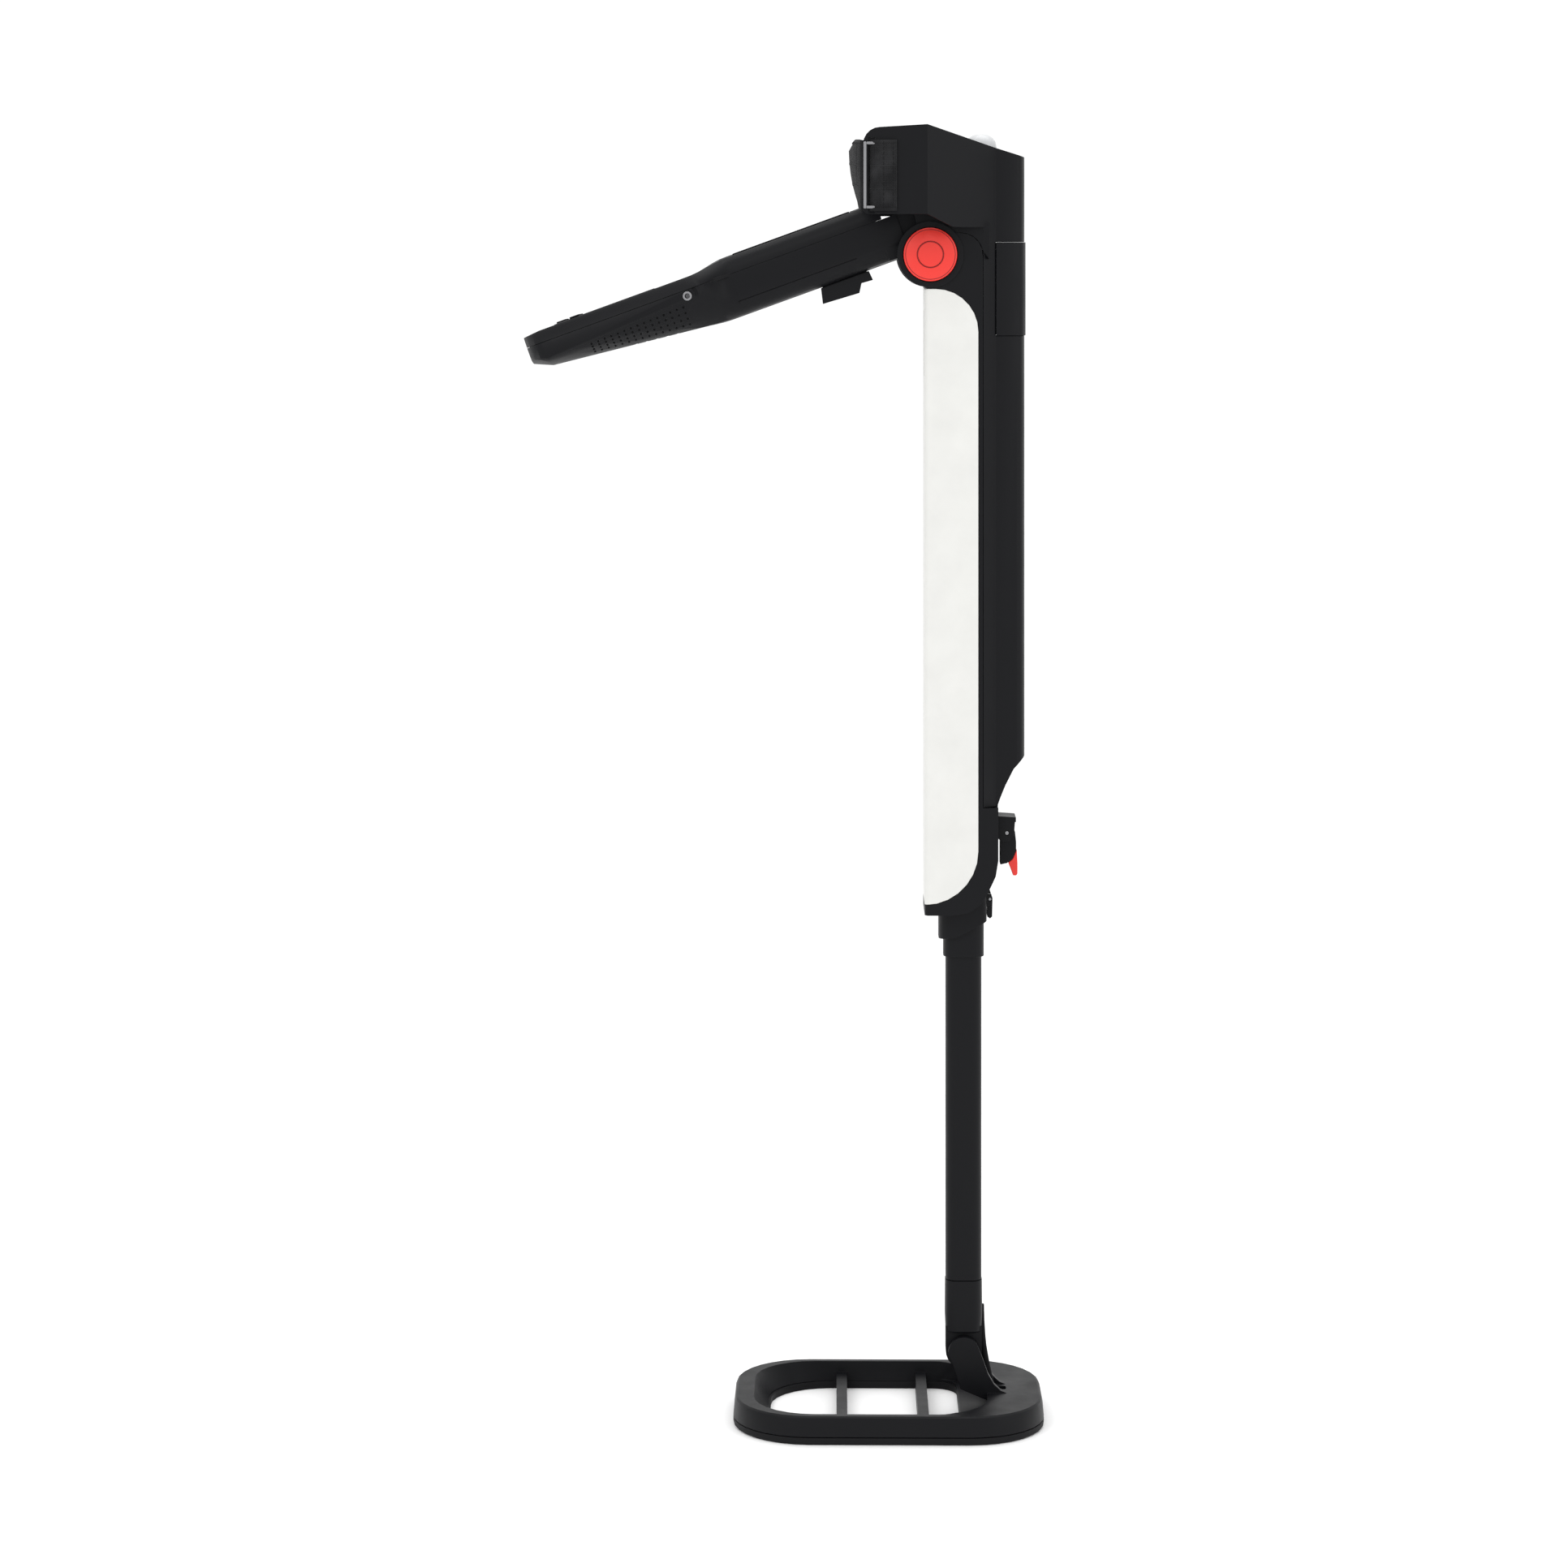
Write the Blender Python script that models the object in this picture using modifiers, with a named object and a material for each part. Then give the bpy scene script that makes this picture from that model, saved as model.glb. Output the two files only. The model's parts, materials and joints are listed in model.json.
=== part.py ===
"""Folding hand-held metal detector, standing on its search coil.

The shaft rises from the coil along +Z. The coil's nose and the control arm point along -X.
All sizes below are millimetres; shapes are converted to metres when they are made.
"""

from math import cos, pi, radians, sin

import bmesh
import bpy
from mathutils import Matrix, Vector

MM = 0.001
GAP = 0.3  # clearance between two pieces that are fixed to each other
SLIDE = 0.35  # clearance, all round, between pieces that slide or turn

# Search coil
COIL_NOSE = -151.0
COIL_LENGTH = 203.0
COIL_WIDTH = 138.0
COIL_HEIGHT = 18.0
COIL_CORNER = 50.0
COVER_HEIGHT = 4.7
LIMB = 9.0
NOSE_DEPTH = 24.0
HEEL_DEPTH = 55.0
SHELF_TOP = 6.6  # the low shelf between the opening and the heel
HEEL_FRONT = 15.0
BAR_WIDTH = 7.0
BAR_TOP = 10.8
BAR_X = (-80.0, -27.0)
WIRE_WIDTH = 3.0
WIRE_HEIGHT = 1.8
# Clevis
PIVOT_Z = 44.0
EAR_RADIUS = 10.3
EAR_THICK = 4.8
TONGUE_HALF = 6.5
WASHER_THICK = 1.0
PIN_RADIUS = 3.0
# Shaft
TUBE_X = 23.6
TUBE_Y = 20.0
TUBE_WALL = 1.4
MID_WALL = 1.2
TUBE_BOTTOM = 90.6
TUBE_TOP = 470.0
MID_BOTTOM = 303.0
MID_TOP = 678.0
COLLAR_TOP = 347.0
# Housing
HOUSING_BOTTOM = 332.6
HOUSING_TOP = 847.8  # at the wings; the top slopes down from there to the back
HOUSING_HALF = 25.0
FRONT_X = -26.0
PART_X = 12.0
CREASE_X = 20.6
CREASE_Y = 18.0
BACK_POWER = 3.4  # how square the rear shell's rounded back is
REAR_X = 40.0
WALL = 2.0
COVER_BACK = 9.0
COVER_LOW = 339.6
COVER_TOP = 741.6
STEP_Z = 402.8
# Forearm cuff
CUFF_LOW = 790.0  # at the wings
NECK_LOW = 781.8  # where the cuff runs down into the housing
TOP_SLOPE = 0.3088
WING_X = -66.5
WING_BEND = -25.0
WING_HALF = 60.0
WING_WALL = 3.5
CRADLE_X = -2.0
# Arm: u runs out along it, v up from its underside, both from the fold axis
FOLD_X = -22.4
FOLD_Z = 764.0
ARM_DROP = 20.0
BARREL_RADIUS = 20.0
EAR_DISC = 21.5
BARREL_HALF = 20.2
GRIP_HALF = 17.0
POD_HALF = 32.0
ARM_WALL = 2.0
ARM_SPLIT = 32.6
BUTTON_RADIUS = 17.5
# Batteries
CELL_RADIUS = 7.25
CELL_LENGTH = 50.5
CELL_BASE = 716.0
DOOR_LOW = 711.0
DOOR_TOP = 772.0

BLACK = (0.018, 0.018, 0.021)

scene_root = None
cutters = None


# ---------- helpers ----------

def clear_scene():
    for obj in list(bpy.data.objects):
        bpy.data.objects.remove(obj, do_unlink=True)


def collection(name, hidden=False):
    made = bpy.data.collections.new(name)
    bpy.context.scene.collection.children.link(made)
    made.hide_render = hidden
    return made


def material(name, colour, rough=0.5, metal=0.0):
    made = bpy.data.materials.get(name) or bpy.data.materials.new(name)
    made.use_nodes = True
    shader = made.node_tree.nodes["Principled BSDF"]
    shader.inputs["Base Color"].default_value = (*colour, 1.0)
    shader.inputs["Roughness"].default_value = rough
    shader.inputs["Metallic"].default_value = metal
    return made


def shape(name, mesh, mat, place=None):
    """Scales a bmesh in millimetres to metres, moves it by place, and links it as a part or a cutter."""
    if place is not None:
        mesh.transform(place)
    mesh.transform(Matrix.Scale(MM, 4))
    mesh.normal_update()
    bmesh.ops.recalc_face_normals(mesh, faces=mesh.faces)
    data = bpy.data.meshes.new(name)
    mesh.to_mesh(data)
    mesh.free()
    obj = bpy.data.objects.new(name, data)
    if mat is None:
        cutters.objects.link(obj)
        obj.hide_render = True
        obj.display_type = "WIRE"
    else:
        scene_root.objects.link(obj)
        data.materials.append(mat)
    return obj


def prism(name, outline, lo, hi, mat=None, axis="Z", place=None):
    """An outline in the plane across axis, drawn from lo to hi. Across Y the outline is (x, z)."""
    spots = {
        "X": lambda a, b: Vector((lo, a, b)),
        "Y": lambda a, b: Vector((a, lo, b)),
        "Z": lambda a, b: Vector((a, b, lo)),
    }[axis]
    travel = {"X": (hi - lo, 0, 0), "Y": (0, hi - lo, 0), "Z": (0, 0, hi - lo)}[axis]
    mesh = bmesh.new()
    face = mesh.faces.new([mesh.verts.new(spots(a, b)) for a, b in outline])
    grown = bmesh.ops.extrude_face_region(mesh, geom=[face])["geom"]
    moved = [item for item in grown if isinstance(item, bmesh.types.BMVert)]
    bmesh.ops.translate(mesh, verts=moved, vec=travel)
    return shape(name, mesh, mat, place)


def box(name, lo, hi, mat=None, place=None):
    mesh = bmesh.new()
    bmesh.ops.create_cube(mesh, size=1.0)
    size = [b - a for a, b in zip(lo, hi)]
    middle = [(a + b) / 2 for a, b in zip(lo, hi)]
    mesh.transform(Matrix.Translation(middle) @ Matrix.Diagonal((*size, 1.0)))
    return shape(name, mesh, mat, place)


def cylinder(name, centre, radius, lo, hi, mat=None, axis="Y", sides=32, place=None, tip=None):
    """A round bar from lo to hi along axis, through centre, given as the other two coordinates."""
    mesh = bmesh.new()
    ends = (radius, radius if tip is None else tip)
    bmesh.ops.create_cone(
        mesh, cap_ends=True, segments=sides, radius1=ends[0], radius2=ends[1], depth=hi - lo
    )
    turn = {
        "X": Matrix.Rotation(pi / 2, 4, "Y"),
        "Y": Matrix.Rotation(-pi / 2, 4, "X"),
        "Z": Matrix.Identity(4),
    }[axis]
    a, b = centre
    half = (lo + hi) / 2
    where = {"X": (half, a, b), "Y": (a, half, b), "Z": (a, b, half)}[axis]
    mesh.transform(Matrix.Translation(where) @ turn)
    return shape(name, mesh, mat, place)


def loft(name, rings, mat=None, place=None):
    """A closed skin through rings of points, each ring with the same count, capped at both ends."""
    mesh = bmesh.new()
    rows = [[mesh.verts.new(point) for point in ring] for ring in rings]
    for low, high in zip(rows, rows[1:]):
        for i in range(len(low)):
            j = (i + 1) % len(low)
            mesh.faces.new((low[i], low[j], high[j], high[i]))
    mesh.faces.new(rows[0])
    mesh.faces.new(rows[-1])
    return shape(name, mesh, mat, place)


def boolean(obj, other, operation):
    step = obj.modifiers.new(operation.lower() + "_" + other.name[:40], "BOOLEAN")
    step.operation = operation
    step.solver = "EXACT"
    step.object = other
    return obj


def cut(obj, *others):
    for other in others:
        boolean(obj, other, "DIFFERENCE")
    return obj


def join(obj, *others):
    for other in others:
        boolean(obj, other, "UNION")
    return obj


def keep(obj, other):
    return boolean(obj, other, "INTERSECT")


def arc(x, z, radius, start, end, steps):
    """Points on an arc, with angles in degrees from the first axis."""
    angles = [radians(start + (end - start) * i / steps) for i in range(steps + 1)]
    return [(x + radius * cos(a), z + radius * sin(a)) for a in angles]


def rounded(x0, x1, y0, y1, corners, steps=5):
    """A rectangle whose corners, from the low x, low y one round to the low x, high y one, are arcs."""
    if not isinstance(corners, (tuple, list)):
        corners = (corners,) * 4
    a, b, c, d = corners
    return (
        arc(x0 + a, y0 + a, a, 180, 270, steps)
        + arc(x1 - b, y0 + b, b, 270, 360, steps)
        + arc(x1 - c, y1 - c, c, 0, 90, steps)
        + arc(x0 + d, y1 - d, d, 90, 180, steps)
    )


def oval(size_x, size_y, grow=0.0, steps=5):
    half_x, half_y = size_x / 2 + grow, size_y / 2 + grow
    return rounded(-half_x, half_x, -half_y, half_y, half_y * 0.72, steps)


def at(points, z):
    return [(x, y, z) for x, y in points]


# ---------- search coil ----------

COIL_END = COIL_NOSE + COIL_LENGTH
COIL_HALF = COIL_WIDTH / 2
OPEN_FRONT = COIL_NOSE + NOSE_DEPTH
OPEN_BACK = COIL_END - HEEL_DEPTH
OPEN_HALF = COIL_HALF - LIMB
SHELL_LOW = COVER_HEIGHT + GAP
EAR_INNER = TONGUE_HALF + WASHER_THICK + 2 * GAP
EAR_OUTER = EAR_INNER + EAR_THICK


def coil_plan(inset=0.0):
    corner = COIL_CORNER - inset
    half = COIL_HALF - inset
    return rounded(COIL_NOSE + inset, COIL_END - inset, -half, half, corner, 8)


def opening_plan(grow=0.0, nose=0.0):
    """The ring's opening. nose moves its front edge on towards the nose."""
    corner = COIL_CORNER - LIMB - 1.0
    half = OPEN_HALF + grow
    return rounded(OPEN_FRONT - nose, OPEN_BACK + grow, -half, half, (corner, 16, 16, corner), 7)


def opening_cutter(name, low, high, low_plan, high_plan):
    """The three windows of the ring, with the two crossbars left standing up to BAR_TOP."""
    windows = loft(name, [at(low_plan, low), at(high_plan, high)])
    for i, x in enumerate(BAR_X):
        half = BAR_WIDTH / 2
        bar = box(f"{name}_bar_{i}", (x - half, -COIL_HALF, low - 5), (x + half, COIL_HALF, BAR_TOP))
        cut(windows, bar)
    return windows


def winding_plan(x0, x1, corners, inset):
    """The outer edge of a winding, inset from the middle of the ring's limb."""
    half = COIL_HALF - LIMB / 2 - inset
    return rounded(x0 + inset, x1 - inset, -half, half, [max(c - inset, 0.6) for c in corners], 7)


def winding(name, span, corners, low, high, width, mat=None):
    loop = prism(name, winding_plan(*span, corners, -width / 2), low, high, mat)
    inner = prism(name + "_inside", winding_plan(*span, corners, width / 2), low - 1, high + 1)
    return cut(loop, inner)


SEND_SPAN = (COIL_NOSE + LIMB / 2 + 1.5, BAR_X[1])
TAKE_SPAN = (BAR_X[0], COIL_END - LIMB / 2 - 1.5)
WIRE_CORNER = COIL_CORNER - LIMB / 2
SEND_CORNERS = (WIRE_CORNER, 4.0, 4.0, WIRE_CORNER)
TAKE_CORNERS = (4.0, WIRE_CORNER, WIRE_CORNER, 4.0)
SEND_LOW = SHELL_LOW + GAP
TAKE_LOW = SEND_LOW + WIRE_HEIGHT + GAP
CHANNEL_TOP = TAKE_LOW + WIRE_HEIGHT + GAP


def ear_outline(grow=0.0):
    """A clevis ear, widening as it falls back into the heel."""
    crown = arc(0.0, PIVOT_Z, EAR_RADIUS + grow, 36, 190, 12)
    front = [(-7.4, 37.2), (-4.8, 29.6), (-2.4, 20.6), (7.0, 16.6), (17.8, 12.2)]
    back = [(28.0, 12.2), (28.0, COIL_HEIGHT), (24.0, 19.6), (19.6, 23.8), (15.8, 30.4), (12.2, 40.6)]
    return crown + front + back


def coil_shell(mat):
    top = COIL_HEIGHT
    levels = ((SHELL_LOW, 0.4), (SHELL_LOW + 0.5, 0.0), (top - 3.0, 0.9), (top - 0.9, 1.7), (top, 3.0))
    shell = loft("coil_shell", [at(coil_plan(inset), z) for z, inset in levels], mat)
    windows = opening_cutter(
        "coil_windows", SHELL_LOW - 2, top + 2, opening_plan(), opening_plan(1.6, nose=12.0)
    )
    behind_bar = BAR_X[1] + BAR_WIDTH / 2 + 1.5
    shelf = rounded(behind_bar, HEEL_FRONT, -OPEN_HALF, OPEN_HALF, (1.0, 35.0, 35.0, 1.0), 7)
    cut(shell, windows, prism("shelf_room", shelf, SHELF_TOP, top + 2))
    for side in (-1, 1):
        lo, hi = sorted((side * EAR_INNER, side * EAR_OUTER))
        join(shell, prism(f"ear_{side}", ear_outline(), lo, hi, axis="Y"))
    width = WIRE_WIDTH + 2 * GAP
    low = SHELL_LOW - 1
    cut(shell, winding("send_channel", SEND_SPAN, SEND_CORNERS, low, CHANNEL_TOP, width))
    cut(shell, winding("take_channel", TAKE_SPAN, TAKE_CORNERS, low, CHANNEL_TOP - 0.05, width))
    pocket = rounded(HEEL_FRONT + 4.0, TAKE_SPAN[1] - 5.0, -34.0, 34.0, 6.0, 3)
    cut(shell, prism("heel_pocket", pocket, low, top - 3.0))
    almond = rounded(LEAD_X - 3.4, LEAD_X + 8.0, -4.0, 4.0, (3.9, 2.0, 2.0, 3.9), 5)
    cut(shell, prism("lead_slot", almond, top - 6.0, top + 6.0))
    reach = (-EAR_INNER - EAR_THICK * 0.6, EAR_OUTER + 5)
    cut(shell, cylinder("ear_bore", (0.0, PIVOT_Z), PIN_RADIUS + GAP, *reach, sides=24))
    return shell


def skid_cover(mat):
    levels = ((0.0, 1.6), (0.5, 0.7), (1.6, 0.0), (COVER_HEIGHT, 0.0))
    cover = loft("skid_cover", [at(coil_plan(inset), z) for z, inset in levels], mat)
    return cut(cover, opening_cutter("cover_windows", -2, 9, opening_plan(), opening_plan()))


def clevis_pin(mat):
    pin = cylinder(
        "clevis_pin", (0.0, PIVOT_Z), PIN_RADIUS, -EAR_INNER - EAR_THICK * 0.5, EAR_OUTER + GAP, mat, sides=24
    )
    head = (EAR_OUTER + GAP, EAR_OUTER + 3.0)
    return join(pin, cylinder("pin_head", (0.0, PIVOT_Z), 5.5, head[0] - 0.0, head[1], sides=24, tip=4.6))


def clevis_washer(side, mat):
    lo, hi = sorted((side * (TONGUE_HALF + GAP), side * (TONGUE_HALF + GAP + WASHER_THICK)))
    name = "clevis_washer_" + ("near" if side < 0 else "far")
    ring = cylinder(name, (0.0, PIVOT_Z), 8.6, lo, hi, mat, sides=32)
    return cut(ring, cylinder(name + "_bore", (0.0, PIVOT_Z), PIN_RADIUS + GAP, lo - 1, hi + 1, sides=24))


LEAD_X = 20.0
LEAD_RADIUS = 2.2
LEAD_START = 11.6
LEAD_TOP = 71.0


def coil_lead(mat):
    """The coil's cable, from the back of the knuckle down through the slot in the heel."""
    stops = (
        (LEAD_START, LEAD_TOP), (LEAD_START + 0.4, 60.0), (13.0, 46.0), (15.8, 31.0), (LEAD_X, COIL_HEIGHT - 5.0)
    )
    line = bpy.data.curves.new("coil_lead", "CURVE")
    line.dimensions = "3D"
    line.resolution_u = 4
    line.bevel_depth = LEAD_RADIUS * MM
    line.bevel_resolution = 2
    line.use_fill_caps = True
    path = line.splines.new("BEZIER")
    path.bezier_points.add(len(stops) - 1)
    for point, (x, z) in zip(path.bezier_points, stops):
        point.co = (x * MM, 0.0, z * MM)
        point.handle_left_type = point.handle_right_type = "AUTO"
    lead = bpy.data.objects.new("coil_lead", line)
    line.materials.append(mat)
    scene_root.objects.link(lead)
    return lead


# ---------- shaft ----------

MID_X = TUBE_X + 2 * (SLIDE + MID_WALL)
MID_Y = TUBE_Y + 2 * (SLIDE + MID_WALL)
KNUCKLE_LOW = PIVOT_Z + EAR_RADIUS + 1.8


def lower_knuckle(mat):
    tongue_half = TUBE_X / 2
    tongue_outline = arc(0.0, PIVOT_Z, tongue_half, 180, 360, 14)
    tongue_outline += [(tongue_half, KNUCKLE_LOW + 4), (-tongue_half, KNUCKLE_LOW + 4)]
    knuckle = prism("lower_knuckle", tongue_outline, -TONGUE_HALF, TONGUE_HALF, mat, axis="Y")
    levels = (
        (KNUCKLE_LOW, -1.0), (KNUCKLE_LOW + 1.0, 0.0), (KNUCKLE_LOW + 12, 0.5), (TUBE_BOTTOM - GAP, 0.3)
    )
    sleeve = loft("knuckle_sleeve", [at(oval(TUBE_X, TUBE_Y, grow), z) for z, grow in levels])
    plug = prism("knuckle_plug", oval(TUBE_X, TUBE_Y, -TUBE_WALL - GAP), TUBE_BOTTOM - 5, TUBE_BOTTOM + 24)
    join(knuckle, sleeve, plug)
    groove_x = LEAD_START - LEAD_RADIUS - GAP
    half = LEAD_RADIUS + GAP
    cut(knuckle, box("lead_groove", (groove_x, -half, PIVOT_Z - 2 * EAR_RADIUS), (20, half, LEAD_TOP + GAP)))
    bore = (-TONGUE_HALF - 1, TONGUE_HALF + 1)
    return cut(knuckle, cylinder("tongue_bore", (0.0, PIVOT_Z), PIN_RADIUS + GAP, *bore, sides=24))


def tube(name, size_x, size_y, wall, low, high, mat):
    made = prism(name, oval(size_x, size_y), low, high, mat)
    return cut(made, prism(name + "_bore", oval(size_x, size_y, -wall), low - 2, high + 2))


def shaft_glide(mat):
    """The nylon plug in the lower tube's top end, which keeps it central in the middle tube."""
    low = TUBE_TOP + GAP
    glide = prism("shaft_glide", oval(TUBE_X, TUBE_Y, 0.15), low, low + 6, mat)
    plug = prism("glide_plug", oval(TUBE_X, TUBE_Y, -TUBE_WALL - GAP), low - 14, low + 1)
    join(glide, plug)
    return cut(glide, prism("glide_bore", oval(TUBE_X, TUBE_Y, -TUBE_WALL - 3), low - 16, low + 9))


COLLAR_FRONT = -16.5
COLLAR_REAR = 14.9
COLLAR_HALF = 14.6
COLLAR_CORNERS = (9, 4, 4, 9)
LEVER_PIN = (17.1, 341.0)


def lower_lock_collar(mat):
    """The clamp on the middle tube's foot: its lower edge slants up towards the back."""
    side = [(COLLAR_FRONT, 315.0), (-5.0, 316.5), (COLLAR_REAR, 327.0)]
    side += [(COLLAR_REAR, COLLAR_TOP), (COLLAR_FRONT, COLLAR_TOP)]
    collar = prism("lower_lock_collar", side, -20, 20, mat, axis="Y")
    plan = rounded(COLLAR_FRONT, COLLAR_REAR, -COLLAR_HALF, COLLAR_HALF, COLLAR_CORNERS, 4)
    keep(collar, prism("collar_plan", plan, 300, 350))
    x, z = LEVER_PIN
    for side_y in (-1, 1):
        lo, hi = sorted((side_y * 6.4, side_y * 9.0))
        lug = [(COLLAR_REAR - 1, z - 5.5), (x + 0.8, z - 3.5), (x + 1.6, z), (x + 0.8, z + 3.2), (COLLAR_REAR - 1, z + 4)]
        join(collar, prism(f"collar_lug_{side_y}", lug, lo, hi, axis="Y"))
    cut(collar, prism("collar_bore", oval(MID_X, MID_Y, GAP), 300, 350))
    return cut(collar, cylinder("collar_pin_hole", LEVER_PIN, 1.2 + 0.2, -12, 12, sides=12))


def lower_lock_lever(mat):
    x, z = LEVER_PIN
    outline = [(x - 1.4, z - 1.0), (x - 1.6, z - 12.0), (x + 0.2, z - 13.2), (x + 1.6, z - 12.0)]
    outline += arc(x, z, 1.9, 0, 150, 4)
    lever = prism("lower_lock_lever", outline, -6.0, 6.0, mat, axis="Y")
    return cut(lever, cylinder("lower_lever_bore", LEVER_PIN, 1.2 + 0.15, -9, 9, sides=12))


def lower_lock_pin(mat):
    return cylinder("lower_lock_pin", LEVER_PIN, 1.05, -9.0, 9.0, mat, sides=12)


# ---------- housing ----------

FOLD = (FOLD_X, FOLD_Z)


def housing_side(grow=0.0):
    """The front shell seen from the side, with its tail curving back under the upper lock."""
    bottom = HOUSING_BOTTOM - grow
    tail = [(-8.0, bottom), (3.0, bottom + 2.0), (10.0, bottom + 7.0), (14.0, bottom + 12.5)]
    tail += [(17.0, bottom + 18.5), (20.3, bottom + 25.6), (22.0 + grow, bottom + 36.0), (22.0 + grow, STEP_Z)]
    crown = [(PART_X + grow, STEP_Z), (PART_X + grow, FOLD_Z - 3.0)]
    crown += arc(PART_X + grow - 15.0, FOLD_Z - 0.7, 15.0, 0, 90, 5)[1:]
    return [(FRONT_X, bottom)] + tail + crown + [(FOLD_X, FOLD_Z + 14.6), (FRONT_X, FOLD_Z + 14.6)]


def housing_plan(inset=0.0, front=FRONT_X, radius=3.2):
    half = HOUSING_HALF - inset
    return rounded(front, 60.0, -half, half, (radius, 1.0, 1.0, radius), 4)


def cover_side(grow=0.0):
    """The white cover from the side: square to the front, rounded at its two back corners."""
    low, high, back = COVER_LOW - grow, COVER_TOP + grow, COVER_BACK + grow
    return rounded(FRONT_X - grow - 2.0, back, low, high, (0.8, 35.0, 28.0, 0.8), 7)


def arm_swing(radius, half, name):
    """Room for the arm's barrel and for the grip in front of it."""
    room = cylinder(name, FOLD, radius, -half, half, sides=48)
    slab = box(name + "_slab", (FOLD_X - 40, -half, FOLD_Z - 8), (FOLD_X, half, FOLD_Z + 40))
    return join(room, slab)


def front_shell(mat):
    shell = prism("front_shell", housing_side(), -HOUSING_HALF - 6, HOUSING_HALF + 6, mat, axis="Y")
    keep(shell, prism("front_shell_plan", housing_plan(), HOUSING_BOTTOM - 5, HOUSING_TOP))
    room = prism("cover_room", cover_side(GAP), -HOUSING_HALF - 3, HOUSING_HALF + 3, axis="Y")
    core = housing_plan(WALL + GAP, FRONT_X + WALL + GAP, 2.0)
    kept = prism("shell_core", core, HOUSING_BOTTOM, HOUSING_TOP)
    cut(room, kept)
    cut(shell, room)
    for side in (-1, 1):
        lo, hi = sorted((side * (BARREL_HALF + GAP), side * (HOUSING_HALF + 1.6)))
        join(shell, cylinder(f"ear_disc_{side}", FOLD, EAR_DISC, lo, hi, sides=48))
    inner = HOUSING_HALF - 2 * WALL - GAP
    chamber = [(FRONT_X + 2 * WALL + GAP, 352.0), (6.0, 352.0), (12.0, 356.0), (17.6, 366.0), (19.8, 378.0)]
    chamber += [(19.8, STEP_Z + 2), (30.0, STEP_Z + 2), (30.0, 738.0), (FRONT_X + 2 * WALL + GAP, 738.0)]
    cut(shell, prism("shell_chamber", chamber, -inner, inner, axis="Y"))
    cut(shell, box("shell_back", (1.8, -inner, 731.0), (30.0, inner, FOLD_Z + 11.5)))
    cut(shell, arm_swing(BARREL_RADIUS + 0.7, BARREL_HALF, "barrel_room"))
    cut(shell, prism("shaft_bore", oval(MID_X, MID_Y, SLIDE), HOUSING_BOTTOM - 5, 360))
    recess = rounded(COLLAR_FRONT - 1, COLLAR_REAR + 1, -COLLAR_HALF - 1, COLLAR_HALF + 1, COLLAR_CORNERS, 3)
    cut(shell, prism("collar_recess", recess, HOUSING_BOTTOM - 5, COLLAR_TOP + 0.8))
    cut(shell, box("hook_window", HOOK_ROOM[0], HOOK_ROOM[1]))
    cut(shell, box("shoe_window", (15.0, -SHOE_HALF - SLIDE, SHOE_Z[0] - SLIDE), (30.0, SHOE_HALF + SLIDE, SHOE_Z[1] + SLIDE)))
    well = cylinder("button_well", FOLD, BUTTON_RADIUS + SLIDE, -HOUSING_HALF - 5, -HOUSING_HALF + 1.2, sides=48)
    stem = cylinder("button_stem_hole", FOLD, 11.0 + SLIDE, -HOUSING_HALF - 5, -BARREL_HALF + 2, sides=32)
    axle = cylinder("axle_hole", FOLD, 4.0 + GAP, BARREL_HALF - 2, HOUSING_HALF + 5, sides=24)
    return cut(shell, well, stem, axle)


def white_cover(mat):
    cover = prism("white_cover", cover_side(), -HOUSING_HALF - 6, HOUSING_HALF + 6, mat, axis="Y")
    keep(cover, prism("cover_plan", housing_plan(), COVER_LOW - 5, COVER_TOP + 5))
    cut(cover, prism("cover_inside", housing_plan(WALL, FRONT_X + WALL, 2.2), COVER_LOW - 5, COVER_TOP + 5))
    return cut(cover, box("hook_mouth", HOOK_ROOM[0], HOOK_ROOM[1]))


def rear_plan(grow=0.0, front=PART_X + GAP, steps=9):
    """The rear shell cut level: a chamfer in from the parting line, then a rounded back."""
    depth = REAR_X - CREASE_X + grow
    half = CREASE_Y + grow
    side = [
        (CREASE_X + depth * (1 - (1 - i / steps) ** BACK_POWER) ** (1 / BACK_POWER), half * (1 - i / steps))
        for i in range(steps + 1)
    ]
    slope = (HOUSING_HALF + 0.6 - CREASE_Y) / (CREASE_X - PART_X)
    shoulder = half + slope * (CREASE_X - PART_X - GAP)
    upper = [(front, min(shoulder, HOUSING_HALF + grow))] + side[:-1]
    return [(x, -y) for x, y in upper] + [side[-1]] + [(x, y) for x, y in reversed(upper)]


def top_z(x):
    """The height of the sloping top of the cuff and of the rear shell at x."""
    return HOUSING_TOP - TOP_SLOPE * max(0.0, x - WING_BEND)


def rear_side(inset=0.0):
    """The rear shell from the side, scooped out at the bottom to clear the upper lock."""
    low = STEP_Z + GAP
    scoop = [(22.0 - inset, low + 1.0), (23.6 - inset, low + 5.6), (27.0 - inset, low + 13.8)]
    scoop += [(32.4 - inset, low + 24.3), (42.0 - inset, low + 34.4)]
    front = PART_X - 5 * (inset > 0)
    start = [(front, low - inset), (22.0 - inset, low - inset)]
    return start + scoop + [(42.0 - inset, top_z(42.0) - 2), (front, top_z(front) - 2)]


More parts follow.
